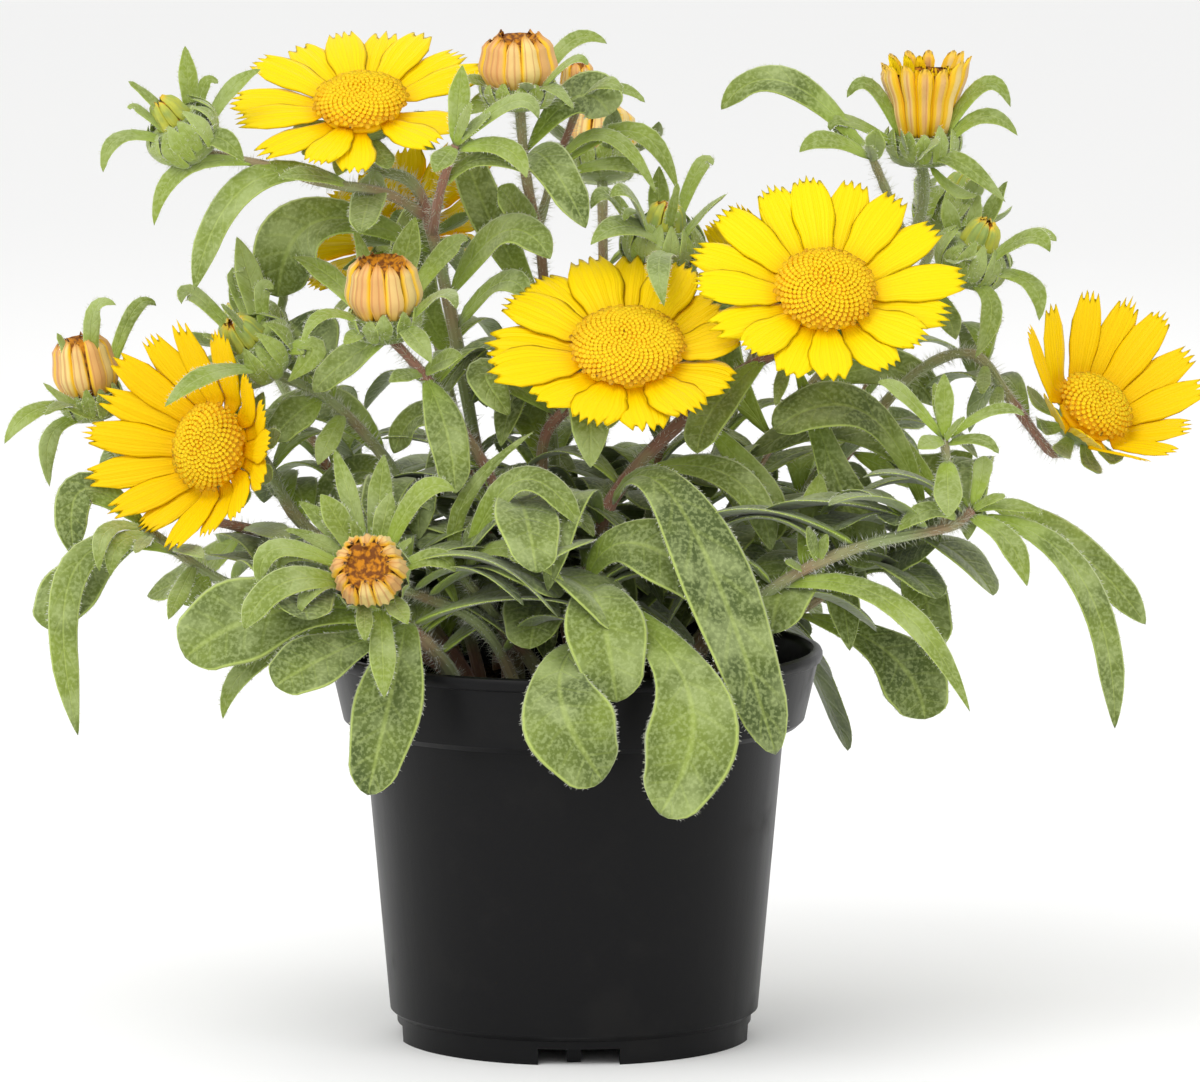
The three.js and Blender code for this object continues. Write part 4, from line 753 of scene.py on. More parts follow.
def stepped(steps, share):
    # a value read off a list of (value, share) steps, smoothly between them
    for (low, start), (high, end) in zip(steps, steps[1:]):
        if share <= end:
            part = (share - start) / (end - start)
            return low + (high - low) * part * part * (3 - 2 * part)
    return steps[-1][0]


# Nodes of the finishes
def addNode(tree, kind, settings=None, inputs=None):
    node = tree.nodes.new(kind)
    for name, value in (settings or {}).items():
        setattr(node, name, value)
    for name, value in (inputs or {}).items():
        if isinstance(value, bpy.types.NodeSocket):
            tree.links.new(value, node.inputs[name])
        else:
            node.inputs[name].default_value = value
    return node


def maths(operation, *values):
    # a sum in the node tree of the first linked value
    tree = next(value.id_data for value in values if isinstance(value, bpy.types.NodeSocket))
    return addNode(tree, "ShaderNodeMath", {"operation": operation}, dict(enumerate(values))).outputs[0]


plus, less, times, larger, size, sine, cosine = [
    partial(maths, operation)
    for operation in ("ADD", "SUBTRACT", "MULTIPLY", "MAXIMUM", "ABSOLUTE", "SINE", "COSINE")]


def blended(share, first, second):
    inputs = {0: share, 6: first, 7: second}
    return addNode(share.id_data, "ShaderNodeMix", {"data_type": "RGBA"}, inputs).outputs[2]


def between(value, low, high):
    settings = {"interpolation_type": "SMOOTHSTEP"}
    return addNode(value.id_data, "ShaderNodeMapRange", settings, {0: value, 1: low, 2: high}).outputs[0]


def noise(tree, scale, detail=2.0, stretch=None):
    place = addNode(tree, "ShaderNodeTexCoord").outputs["Object"]
    if stretch:
        place = addNode(tree, "ShaderNodeMapping", {}, {"Vector": place, "Scale": stretch}).outputs[0]
    inputs = {"Vector": place, "Scale": scale, "Detail": detail}
    return addNode(tree, "ShaderNodeTexNoise", {}, inputs).outputs[0]


def colour(red, green, blue):
    # a colour given in screen values, as the shader takes it
    parts = [part / 255 for part in (red, green, blue)]
    return [part / 12.92 if part < 0.04 else ((part + 0.055) / 1.055) ** 2.4 for part in parts] + [1]


def startFinish(name, roughness, sheen=0.0, specular=0.3):
    finish = bpy.data.materials.new(name)
    finish.use_nodes = True
    tree = finish.node_tree
    shader = tree.nodes["Principled BSDF"]
    shader.inputs["Roughness"].default_value = roughness
    shader.inputs["Sheen Weight"].default_value = sheen
    shader.inputs["Specular IOR Level"].default_value = specular
    return finish, tree, shader


def acrossAndAlong(tree):
    # how far a point of a blade lies from its rib, 0 to 1, its share of the length, and its tone
    parts = addNode(tree, "ShaderNodeSeparateXYZ", {},
                    {0: addNode(tree, "ShaderNodeUVMap", {"uv_map": "UVMap"}).outputs[0]})
    side = size(cosine(times(parts.outputs[0], turn)))
    tone = addNode(tree, "ShaderNodeAttribute", {"attribute_name": "tone"}).outputs["Fac"]
    return parts.outputs[0], side, parts.outputs[1], tone


def paint(shader, value, entry="Base Color"):
    shader.id_data.links.new(value, shader.inputs[entry])


def emboss(shader, height, strength, distance):
    inputs = {"Height": height, "Strength": strength, "Distance": distance}
    paint(shader, addNode(shader.id_data, "ShaderNodeBump", {}, inputs).outputs[0], "Normal")


leafFinish = {
    "old": colour(66, 82, 24), "young": colour(134, 152, 52), "velvet": colour(168, 182, 118),
    "edge": colour(186, 204, 104), "foot": colour(156, 182, 44), "below": colour(112, 130, 66),
    "roughness": 0.62, "sheen": 0.35, "velvetShare": 0.5, "hairShare": 0.42, "ribShare": 0.28,
    "veinShare": 0.12, "edgeShare": 0.8, "footShare": 0.55, "belowShare": 0.45,
}


def makeLeafSkin():
    finish, tree, shader = startFinish("leafSkin", leafFinish["roughness"], leafFinish["sheen"])
    around, side, along, tone = acrossAndAlong(tree)
    patches = times(less(noise(tree, 75, 3.0), 0.5), 1.5)
    skin = blended(plus(tone, patches), leafFinish["old"], leafFinish["young"])
    velvet = times(between(noise(tree, 110, 4.0), 0.46, 0.68), leafFinish["velvetShare"])
    skin = blended(velvet, skin, leafFinish["velvet"])
    shortHairs = times(between(noise(tree, 1300, 2.0), 0.42, 0.66), leafFinish["hairShare"])
    skin = blended(shortHairs, skin, leafFinish["velvet"])
    slant = less(times(along, 62.0), times(side, 7.0))
    veins = times(between(sine(slant), 0.72, 1.0), between(side, 0.98, 0.5))
    rib = between(side, 0.12, 0.02)
    lines = larger(times(rib, leafFinish["ribShare"]), times(veins, leafFinish["veinShare"]))
    lines = larger(lines, times(between(side, 0.89, 0.98), leafFinish["edgeShare"]))
    skin = blended(lines, skin, leafFinish["edge"])
    foot = times(between(along, 0.34, 0.02), leafFinish["footShare"])
    skin = blended(foot, skin, leafFinish["foot"])
    lower = times(between(around, 0.49, 0.51), leafFinish["belowShare"])
    skin = blended(lower, skin, leafFinish["below"])
    paint(shader, skin)
    height = less(noise(tree, 380, 3.0), times(veins, 0.55))
    emboss(shader, less(height, rib), 0.5, 0.00035)
    return finish


stemFinish = {"green": colour(148, 160, 108), "pink": colour(150, 108, 88), "roughness": 0.6}


def makeStemSkin():
    finish, tree, shader = startFinish("stemSkin", stemFinish["roughness"], 0.4)
    share = between(noise(tree, 42, 3.0), 0.38, 0.62)
    paint(shader, blended(share, stemFinish["green"], stemFinish["pink"]))
    around, side, along, tone = acrossAndAlong(tree)
    ribs = sine(times(around, 9 * turn))
    emboss(shader, plus(ribs, noise(tree, 500)), 0.4, 0.0002)
    return finish


hairFinish = {"root": colour(222, 226, 198), "tip": colour(250, 250, 242), "roughness": 0.5}


def makeHair():
    finish, tree, shader = startFinish("hair", hairFinish["roughness"], 0.0, 0.4)
    share = between(noise(tree, 90), 0.35, 0.65)
    paint(shader, blended(share, hairFinish["root"], hairFinish["tip"]))
    return finish


rayFinish = {
    "lemon": colour(244, 216, 0), "gold": colour(242, 188, 0), "groove": colour(234, 176, 0),
    "heart": colour(246, 188, 0), "roughness": 0.46, "grooveShare": 0.34, "heartShare": 0.6,
}


def makeRaySkin():
    finish, tree, shader = startFinish("raySkin", rayFinish["roughness"], 0.0, 0.12)
    around, side, along, tone = acrossAndAlong(tree)
    skin = blended(plus(tone, times(noise(tree, 40), 0.16)),
                   rayFinish["lemon"], rayFinish["gold"])
    lines = sine(times(around, 17 * turn))
    fine = sine(times(around, 41 * turn))
    lines = plus(times(lines, 0.7), times(fine, 0.3))
    deep = times(between(lines, 0.3, 1.0), between(along, 1.0, 0.25))
    skin = blended(times(deep, rayFinish["grooveShare"]), skin, rayFinish["groove"])
    heart = times(between(along, 0.34, 0.05), rayFinish["heartShare"])
    skin = blended(heart, skin, rayFinish["heart"])
    paint(shader, skin)
    emboss(shader, plus(lines, noise(tree, 300)), 0.35, 0.00025)
    return finish


# the darker gold for the outer florets is painted shade at the disc's rim; the brown is the florets' own
# specks
floretFinish = {
    "fresh": colour(255, 216, 8), "open": colour(250, 202, 6), "paintedRimShade": colour(220, 160, 8),
    "brown": colour(92, 60, 16), "roughness": 0.55,
}


def makeFloretSkin():
    # tone is 0 on the fresh florets in the middle and rises to 1 at the edge, where the gold is darkened
    # as painted shade at the disc's rim and the florets carry their own brown specks
    finish, tree, shader = startFinish("floretSkin", floretFinish["roughness"])
    tone = addNode(tree, "ShaderNodeAttribute", {"attribute_name": "tone"}).outputs["Fac"]
    skin = blended(between(tone, 0.0, 0.6), floretFinish["fresh"], floretFinish["open"])
    # painted shade: the outermost florets are darkened towards a deeper gold at the disc's rim
    skin = blended(times(between(tone, 0.62, 1.0), 0.8), skin,
                   floretFinish["paintedRimShade"])
    specks = times(between(noise(tree, 700, 3.0), 0.6, 0.72), tone)
    skin = blended(specks, skin, floretFinish["brown"])
    paint(shader, skin)
    emboss(shader, noise(tree, 1600), 0.4, 0.0001)
    return finish


petalFinish = {
    "pale": colour(238, 208, 132), "blush": colour(226, 174, 104), "line": colour(204, 132, 78),
    "edge": colour(244, 196, 34), "mouth": colour(206, 132, 14), "dark": colour(120, 66, 12),
    "green": colour(150, 170, 86), "greenEdge": colour(196, 196, 70), "roughness": 0.5,
}


def makePetalSkin(name, pale, edgeStart=0.55, openTips=False):
    finish, tree, shader = startFinish(name, petalFinish["roughness"], 0.15)
    around, side, along, tone = acrossAndAlong(tree)
    if pale:
        share = plus(tone, times(noise(tree, 150, 3.0), 0.5))
        skin = blended(between(share, 0.35, 1.0), petalFinish["pale"], petalFinish["blush"])
        lines = sine(times(around, 8 * turn))
        lines = times(between(lines, 0.55, 1.0), 0.6)
        skin = blended(lines, skin, petalFinish["line"])
        edge = petalFinish["edge"]
        tips = edge if openTips else petalFinish["mouth"]
    else:
        lines = sine(times(around, 5 * turn))
        skin = blended(between(noise(tree, 200), 0.35, 0.65), petalFinish["green"],
                       petalFinish["greenEdge"])
        edge, tips = petalFinish["greenEdge"], petalFinish["edge"]
    skin = blended(between(side, edgeStart, edgeStart + 0.37), skin, edge)
    skin = blended(times(between(along, 0.3, 0.0), 0.6), skin, edge)
    skin = blended(times(between(along, 0.82, 1.0), 0.85), skin, tips)
    paint(shader, skin)
    emboss(shader, plus(lines, noise(tree, 500)), 0.4, 0.0002)
    return finish


def makeMouthSkin():
    # the dark amber hollow between the tips of a bud's petals
    finish, tree, shader = startFinish("mouthSkin", 0.7)
    share = between(noise(tree, 900, 3.0), 0.4, 0.62)
    paint(shader, blended(share, petalFinish["dark"], petalFinish["mouth"]))
    emboss(shader, noise(tree, 1400, 3.0), 0.8, 0.0004)
    return finish


potFinish = {
    "plastic": [0.0045, 0.0045, 0.005, 1], "worn": [0.011, 0.0105, 0.010, 1],
    "roughness": 0.4, "smoothest": 0.3, "dust": 0.55,
}


def makePlastic():
    # black moulded plastic with fine flow lines, a little dust and small scuffs
    finish, tree, shader = startFinish("blackPlastic", potFinish["roughness"], 0.0, 0.14)
    flow = noise(tree, 150, 4.0, (1, 1, 0.12))
    dust = between(noise(tree, 70, 6.0), 0.5, 0.75)
    skin = blended(times(dust, potFinish["dust"]), potFinish["plastic"], potFinish["worn"])
    paint(shader, skin)
    rough = plus(times(dust, 0.16), times(flow, 0.12))
    paint(shader, plus(rough, potFinish["smoothest"]), "Roughness")
    grain = plus(flow, times(noise(tree, 2600), 0.3))
    emboss(shader, grain, 0.22, 0.00025)
    return finish


soilFinish = {"dark": colour(28, 21, 15), "light": colour(74, 56, 40), "fleck": colour(150, 132, 104)}


def makeSoilSkin():
    finish, tree, shader = startFinish("pottingSoil", 0.95, 0.0, 0.1)
    skin = blended(between(noise(tree, 420, 5.0), 0.4, 0.68), soilFinish["dark"],
                   soilFinish["light"])
    skin = blended(between(noise(tree, 900, 2.0), 0.68, 0.72), skin, soilFinish["fleck"])
    paint(shader, skin)
    emboss(shader, noise(tree, 700, 6.0), 1.0, 0.0008)
    return finish


leafSkin = makeLeafSkin()
stemSkin = makeStemSkin()
hairSkin = makeHair()
raySkin = makeRaySkin()
floretSkin = makeFloretSkin()
palePetal = makePetalSkin("palePetal", True)
quillPetal = makePetalSkin("quillPetal", True, 0.22, True)
greenPetal = makePetalSkin("greenPetal", False)
mouthSkin = makeMouthSkin()
plastic = makePlastic()
soilSkin = makeSoilSkin()
plantSkins = [leafSkin, stemSkin, hairSkin]
print("finishes made")


def spun(profile, steps):
    # a profile of (radius, height) turned round the pot's axis
    shape = newShape()
    verts = [shape.verts.new((radius, 0, height)) for radius, height in profile]
    edges = [shape.edges.new(pair) for pair in zip(verts, verts[1:])]
    bmesh.ops.spin(shape, geom=verts + edges, cent=(0, 0, 0), axis=(0, 0, 1), angle=turn, steps=steps,
                   use_merge=True)
    bmesh.ops.remove_doubles(shape, verts=shape.verts, dist=mergeGap)
    return shape


def block(shape, size, place, angle):
    matrix = Matrix.Rotation(angle, 4, "Z") @ Matrix.Translation(place) @ Matrix.Diagonal((*size, 1))
    bmesh.ops.create_cube(shape, size=1, matrix=matrix)


def cut(shape, cutter, operation):
    # the shape with the cutter taken from it or joined to it
    bodies = []
    for part in (shape, cutter):
        bmesh.ops.recalc_face_normals(part, faces=part.faces)
        bodies.append(link(bpy.data.objects.new("body", meshOf(part, "body"))))
    modifier = bodies[0].modifiers.new("cut", "BOOLEAN")
    modifier.operation = operation
    modifier.object = bodies[1]
    modifier.solver = "EXACT"
    modifier.use_self = True
    mesh = bpy.data.meshes.new_from_object(bodies[0].evaluated_get(bpy.context.evaluated_depsgraph_get()))
    for body in bodies:
        bpy.data.objects.remove(body)
    result = bmesh.new()
    result.from_mesh(mesh)
    return result


def makePot():
    # foot, tapered body, rim band and rolled lip, with crossed ribs and drain holes below
    pot = potForm
    floorTop = pot["footHeight"] + pot["wall"]
    band = pot["height"] - pot["band"]
    rim, top = pot["rimRadius"], pot["height"]
    profile = [
        (0, pot["footHeight"] - pot["wall"]),
        (pot["footRadius"] - pot["footWall"], pot["footHeight"] - pot["wall"]),
        (pot["footRadius"] - pot["footWall"], 0), (pot["footRadius"], 0),
        (pot["footRadius"] + 0.3, pot["footHeight"]), (pot["bodyFoot"], pot["footHeight"] + 1.2),
        (pot["topRadius"], band - 0.6), (pot["bandRadius"] - 1.3, band - 0.2),
        (pot["bandRadius"], band + 1), (rim - 1, top - 2.9), (rim - 0.3, top - 2.5), (rim, top - 1.8),
        (rim, top - 1), (rim - 0.35, top - 0.3), (rim - 1.1, top), (rim - 1.9, top - 0.1),
        (rim - 2.5, top - 0.7), (rim - 2.8, top - 2), (pot["bandRadius"] - pot["wall"], band + 2.4),
        (pot["topRadius"] - pot["wall"], band + 1), (pot["bodyFoot"] - pot["wall"], floorTop + 2),
        (pot["bodyFoot"] - 2 * pot["wall"], floorTop), (0, floorTop),
    ]
    ribs = newShape()
    for angle in (0, turn / 4):
        block(ribs, (2 * pot["footRadius"] - 2, pot["ribWidth"], pot["footHeight"] - 1),
              (0, 0, (pot["footHeight"] - 1) / 2), angle)
    shape = cut(spun(profile, 96), ribs, "UNION")
    gaps = newShape()
    for notch in range(pot["notches"]):
        block(gaps, (8, pot["notchWidth"], 2 * pot["notchHeight"]), (pot["footRadius"], 0, 0),
              notch / pot["notches"] * turn + pot["notchTurn"])
    for hole in range(pot["drains"]):
        angle = (hole + 0.5) / pot["drains"] * turn
        place = (pot["drainReach"] * math.cos(angle), pot["drainReach"] * math.sin(angle),
                 pot["footHeight"])
        bmesh.ops.create_cone(gaps, cap_ends=True, segments=24, radius1=pot["drainRadius"],
                              radius2=pot["drainRadius"], depth=8, matrix=Matrix.Translation(place))
    shape = cut(shape, gaps, "DIFFERENCE")
    if "tone" not in shape.verts.layers.float:
        shape.verts.layers.float.new("tone")
    piece = addPiece("pot_moulded", shape, "pot", "pot", [plastic])
    piece.data.set_sharp_from_angle(angle=math.radians(32))
    rounding = piece.modifiers.new("rounding", "BEVEL")
    rounding.width = 0.35 * mm
    rounding.segments = 2
    rounding.limit_method = "ANGLE"
    rounding.angle_limit = math.radians(40)
    return piece


def makeSoil():
    # loose potting soil: a body with an uneven top and crumbs on it
    bottom = potForm["footHeight"] + potForm["wall"] + soilForm["gap"]
    foot = potForm["bodyFoot"] - potForm["wall"] - soilForm["gap"]
    top, radius = soilForm["top"], soilForm["radius"]
    profile = [(0, bottom), (foot - potForm["wall"], bottom), (foot - 0.2, bottom + 2.2)]
    profile += [(radius, top - 1.4), (radius - 0.4, top - 0.4)]
    profile += [((radius - 1.4) * (1 - step / 14), top) for step in range(15)]
    shape = spun(profile, 72)
    for vert in shape.verts:
        if vert.co.z > top - 0.5:
            vert.co.z += chance.uniform(-0.7, 0.3)
    pebble = newShape()
    bmesh.ops.create_icosphere(pebble, subdivisions=1, radius=0.5)
    for vert in pebble.verts:
        vert.co *= chance.uniform(0.75, 1.2)
    spots = []
    for crumb in range(soilForm["crumbs"]):
        out = (radius - 1.6) * math.sqrt(chance.random())
        angle = chance.uniform(0, turn)
        size = soilForm["crumbSize"] * chance.uniform(0.35, 1.25)
        ways = Matrix.Rotation(chance.uniform(0, turn), 3, Vector((chance.random(), chance.random(), 0.4)))
        origin = Vector((out * math.cos(angle), out * math.sin(angle), top - 0.1))
        spots.append((origin, ways.col[0] * size, ways.col[1] * size * 0.8,
                      ways.col[2] * size * 0.6, 0.5))
    addCopies(shape, meshOf(pebble, "crumb"), spots)
    return addPiece("soil_loose", shape, "soil", "soil", [soilSkin])


for form in bladeForms.values():
    form["outline"] = smoothOutline(form["stations"])

makePot()
makeSoil()
print("pot and soil made")


def hairUnit():
    # a hair is a thin three-sided spike
    shape = newShape()
    bmesh.ops.create_cone(shape, cap_ends=True, segments=3, radius1=1, radius2=0, depth=1,
                          matrix=Matrix.Translation((0, 0, 0.5)))
    return meshOf(shape, "hairUnit")


# How many hairs stand on a millimetre of stem or leaf edge, on a cup and on a base, and their size
hairs = {
    "stemEach": 9, "stemLength": 1.7, "edgeEach": 1.9, "edgeLength": 0.6,
    "cup": 620, "base": 260, "cupLength": 2.4, "width": 0.055,
}
hairMesh = hairUnit()


def hairSpot(point, way, length):
    aside = way.orthogonal().normalized()
    width = hairs["width"] * chance.uniform(0.8, 1.25)
    return point, aside * width, way.cross(aside).normalized() * width, way * length, 0.5


def bladePoint(leaf, form, waves, around, along):
    # a point of a leaf's skin: the upper face for the first half of the way around it
    if along <= 0 or along >= 1:
        return leaf["root"] if along <= 0 else leaf["tip"]
    centre, across, normal = bladeAt(leaf, along)
    last, lastShare = form["stations"][-1]
    if along < last:
        spot = along * 100
        low = form["outline"][int(spot)]
        share = low + (form["outline"][int(spot) + 1] - low) * (spot % 1)
    else:
        bulge, power = form["round"]
        share = lastShare * (1 - ((along - last) / (1 - last)) ** bulge) ** power
    half = max(0.5 * leaf["width"] * form["full"] * share, 0.75 * min(1, (1 - along) * 14))
    half *= min(1, along * 30)
    side = -math.cos(around * turn)
    up = math.sin(around * turn)
    fold = half * (0.36 * abs(side) - 0.2 * side * side)
    fold += half * waves[0] * side * side * math.sin(along * waves[1] + waves[2] + side)
    edge = min(1, (1 - along) * 9) * min(1, along * 20)
    skin = (form["thick"] + 0.45 * (1 - along) ** 5) * up * edge
    if abs(side) < 0.1:
        skin += (-0.1 if up > 0 else -0.28) * edge * (1 - along)
    twist = waves[3] * along * side * half
    return centre + across * (half * side) + normal * (fold + skin + twist)


def addLeaf(shape, spots, leaf, age):
    form = bladeForm(leaf["width"])
    waves = [chance.uniform(0.02, 0.09), chance.uniform(5, 10), chance.uniform(0, turn),
             chance.uniform(-0.16, 0.16)]
    tone = min(1, max(0, age + chance.uniform(-0.2, 0.2)))

    def place(around, step):
        along = 1 - (1 - step) ** 1.55
        return bladePoint(leaf, form, waves, around, along)

    addSheet(shape, form["cells"], form["steps"], place, tone)
    length = (leaf["tip"] - leaf["root"]).length
    for hair in range(int(length * hairs["edgeEach"] * 2)):
        along = chance.uniform(0.1, 0.985)
        around = chance.choice([0, 0.5])
        centre = bladeAt(leaf, along)
        point = bladePoint(leaf, form, waves, around, along)
        way = (point - centre[0]).normalized() + centre[2] * chance.uniform(-0.5, 0.5)
        way += (leaf["tip"] - leaf["root"]).normalized() * chance.uniform(0.1, 0.9)
        spots.append(hairSpot(point, way.normalized(), hairs["edgeLength"] * chance.uniform(0.5, 1.4)))


def addStem(shape, spots, stem):
    middles = stemMiddles(stem, 4)
    last = len(middles) - 1
    aside = Vector((0, 1, 0.2))
    swell = chance.uniform(0, turn)
    ways = [(middles[min(step + 1, last)] - middles[max(step - 1, 0)]).normalized()
            for step in range(last + 1)]

    def ring(step):
        right = ways[step].cross(aside).normalized()
        return right, right.cross(ways[step])

    def place(around, along):
        step = round(along * (last + 2)) - 1
        if step < 0 or step > last:
            return middles[0] if step < 0 else middles[last]
        right, up = ring(step)
        radius = stem["radius"] * (1 - 0.22 * step / last) * (0.94 + 0.07 * math.sin(step * 1.3 + swell))
        angle = around * turn
        return middles[step] + right * (radius * math.cos(angle)) + up * (radius * math.sin(angle))

    addSheet(shape, 10, last + 2, place, chance.random(), 1)
    length = sum((middles[step + 1] - middles[step]).length for step in range(last))
    first = 8 if isinstance(stem["path"][0], Vector) else 0
    for hair in range(int(length * hairs["stemEach"])):
        step = chance.randint(first, last - 1)
        right, up = ring(step)
        angle = chance.uniform(0, turn)
        out = right * math.cos(angle) + up * math.sin(angle)
        centre = middles[step].lerp(middles[step + 1], chance.random())
        way = (out + ways[step] * chance.uniform(-0.2, 0.8)).normalized()
        point = centre + out * (stem["radius"] * (0.9 - 0.22 * step / last))
        spots.append(hairSpot(point, way, hairs["stemLength"] * chance.uniform(0.5, 1.5)))


def addTurned(shape, place, steps, sides, ribs, tone=0.5, material=0):
    # a form turned round a flower's or bud's own axis, with low ribs
    def point(around, along):
        radius, height = steps[round(along * (len(steps) - 1))]
        radius *= 1 + ribs[1] * math.cos(ribs[0] * around * turn)
        return onBloom(place, around * turn, radius, 0, height)

    addSheet(shape, sides, len(steps) - 1, point, tone, material)


def smoothSteps(corners, parts=4):
    # more steps between the corners of a turned form, so that it is round
    points = [Vector((radius, height, 0)) for radius, height in corners]
    count = (len(points) - 1) * parts
    curve = [curvePoint(points, step / count) for step in range(count + 1)]
    return [(max(point.x, 0), point.y) for point in curve]


# A bud's cup: how wide it is at its belly and mouth, its scales and how high they reach
cupForms = {
    "tight": {"belly": 1, "mouth": 0.72, "scales": 15, "tall": (1.0, 1.25)},
    "open": {"belly": 0.92, "mouth": 0.92, "scales": 13, "tall": (1.05, 1.4)},
}


def addCup(shape, spots, bud):
    # the green cup of a bud, with its pressed scales and woolly hairs
    place = budPlace(bud)
    top = place["length"] * bud["cup"]
    radius = bud["radius"]
    tight = bud["form"] == "tight"
    form = cupForms["tight" if tight else "open"]
    belly, mouth = form["belly"], form["mouth"]
    outline = [(0.28, 0), (0.8, 0.16), (belly, 0.6), (mouth, 1)]
    corners = [(out * radius, height * top) for out, height in outline]
    steps = [(0, -0.2)] + smoothSteps(corners) + [((mouth - 0.1) * radius, top - 0.1), (0, top - 0.8)]
    addTurned(shape, place, steps, 24, (8, 0.03), 0.75)
    for scale in range(form["scales"]):
        angle = (scale + chance.uniform(-0.15, 0.15)) / form["scales"] * turn
        low = chance.uniform(0.05, 0.3)
        lean = chance.uniform(0.98, 1.16)
        tall = chance.uniform(*form["tall"])
        tipOut = mouth * (chance.uniform(0.9, 1.1) if tight else lean)
        leaf = {
            "root": onBloom(place, angle, 0.72 * radius, 0, low * top),
            "middle": onBloom(place, angle, 1.07 * belly * radius, 0, (0.5 * low + 0.55) * top),
            "tip": onBloom(place, angle, tipOut * radius, 0, tall * top),
            "width": 0.5 * radius, "face": onBloom(place, angle, 1, 0, 0) - place["origin"],
        }
        addLeaf(shape, spots, leaf, 0.85)
    for hair in range(hairs["cup"]):
        angle = chance.uniform(0, turn)
        share = chance.uniform(0.03, 1.0)
        out = stepped([(0.3, 0), (0.8, 0.16), (belly, 0.6), (mouth, 1.01)], share) * radius
        point = onBloom(place, angle, out, 0, share * top)
        way = (point - onBloom(place, angle, 0, 0, share * top)).normalized()
        way = (way + place["facing"] * chance.uniform(-0.2, 1.0)).normalized()
        way = (way + onBloom(place, angle, 0, chance.uniform(-0.5, 0.5), 0) - place["origin"]).normalized()
        spots.append(hairSpot(point, way, hairs["cupLength"] * chance.uniform(0.4, 1.2)))


# The green base under a flower: the radius and height of its neck, the waist as a share of the disc
# and its height, the top as a share of the disc, and the bracts with their bend and end on the rays
bloomBase = {"neck": (1.7, -7), "waist": (0.62, -3.6), "top": 0.74,
             "bracts": 9, "bend": 0.42, "end": 0.62, "width": 4.4}


def addBloomBase(shape, spots, bloom):
    # the green base under a flower, with its leafy bracts
    place = bloomPlace(bloom)
    neck, low = bloomBase["neck"]
    waist, middle = bloomBase["waist"]
    waist *= bloom["disc"]
    corners = [(neck, low), (waist, middle), (bloomBase["top"] * bloom["disc"], 0)]
    steps = [(0, low - 0.4)] + smoothSteps(corners) + [(0, 0.2)]
    addTurned(shape, place, steps, 28, (14, 0.03), 0.6)
    half, full = bloom["reach"] * bloomBase["bend"], bloom["reach"] * bloomBase["end"]
    for bract in range(bloomBase["bracts"]):
        angle = bract / bloomBase["bracts"] * turn + 0.3
        length = 1 if bract % 3 == 0 else chance.uniform(0.8, 1.05)
        leaf = {
            "root": onBloom(place, angle, bloom["disc"] * 0.45, 0, -3),
            "middle": onBloom(place, angle, half, 0, -3.6 + 0.5 * rayHeight(bloom, half)),
            "tip": onBloom(place, angle, full * length, 0, -4.6 + 0.7 * rayHeight(bloom, full)),
            "width": bloomBase["width"], "face": place["facing"],
        }
        addLeaf(shape, spots, leaf, 0.6)
    for hair in range(hairs["base"]):
        angle = chance.uniform(0, turn)
        share = chance.random()
        point = onBloom(place, angle, neck + share * (waist - neck), 0, low + share * (middle - low))
        way = (onBloom(place, angle, 1, chance.uniform(-0.4, 0.4), -0.5) - place["origin"]).normalized()
        spots.append(hairSpot(point, way, hairs["cupLength"] * chance.uniform(0.3, 1)))


def packedCorners(node):
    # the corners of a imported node, to find how each of its leaves was bent
    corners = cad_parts[node].data.vertices
    tree = kdtree.KDTree(len(corners))
    for index, vert in enumerate(corners):
        tree.insert(vert.co / mm, index)
    tree.balance()
    return tree


def makePlant(node, plant, leaves):
    shape = newShape()
    spots = []
    corners = packedCorners(node)
    for stem in plant["stems"]:
        addStem(shape, spots, stem)
        if stem["to"] in blooms:
            addBloomBase(shape, spots, blooms[stem["to"]])
        elif stem["to"]:
            addCup(shape, spots, buds[stem["to"]])
    missing = 0
    for leaf in leaves:
        settled = settledLeaf(leaf, corners)
        if settled is None:
            missing += 1
            if leaf["width"] >= bladeForms["narrow"]["from"]:
                continue
            settled = leaf
        addLeaf(shape, spots, settled, bladeForm(settled["width"])["age"])
    for leaf in moreLeaves(plant):
        addLeaf(shape, spots, leaf, 0.25)
    addCopies(shape, hairMesh, spots, 2)
    piece = addPiece(f"{node}_grown", shape, node, "leaves", plantSkins)
    print(node, len(leaves), "leaves,", missing, "unbent,", len(spots), "hairs,",
          len(piece.data.polygons), "faces")


def makePlants():
    for node, plant in plants.items():
        makePlant(node, plant, [readLeaf(plant, row) for row in plant["leaves"]])
    for order, (node, plant) in enumerate(backPlants.items(), len(plants)):
        x, y = plant["from"]
        through = Vector(plant.get("through", (1.1 * x, 1.1 * y, plant.get("height"))))
        stem = stalk(2 if "height" in plant else 1.5, [ground(x, y), through], plant.get("to"))
        leaves = backLeaves(plant, stem, order)
        if plant.get("to") in buds:
            leaves += backBracts(buds[plant["to"]])
        makePlant(node, {"stems": [stem]}, leaves)
    print("stems and leaves made")


# More leaves inside the plant, which only the visual model has: how many on a stem, the first of
# them broad, and how far they stay from the flowers and the plant's outside
innerLeaves = {
    "each": 12, "broad": 4, "trials": 8, "lowest": 84, "clear": 9, "side": 88, "front": -56, "back": 62,
    "narrowForm": {"reach": (20, 31), "width": (6.5, 9.6), "highest": 172},
    "broadForm": {"reach": (28, 40), "width": (11, 15), "highest": 112},
}


def hidesBloom(point):
    # true where a leaf would stand in front of a flower or bud
    for parts in [*blooms.values(), *buds.values()]:
        flower = "reach" in parts
        place = bloomPlace(parts) if flower else budPlace(parts)
        reach = parts["reach"] if flower else 1.5 * parts["radius"]
        away = (onSheet(point) - onSheet(place["origin"])).length
        if away < reach and point.y < place["origin"].y + innerLeaves["clear"]:
            return True
        if (point - place["origin"]).length < 0.8 * reach:
            return True
    return False


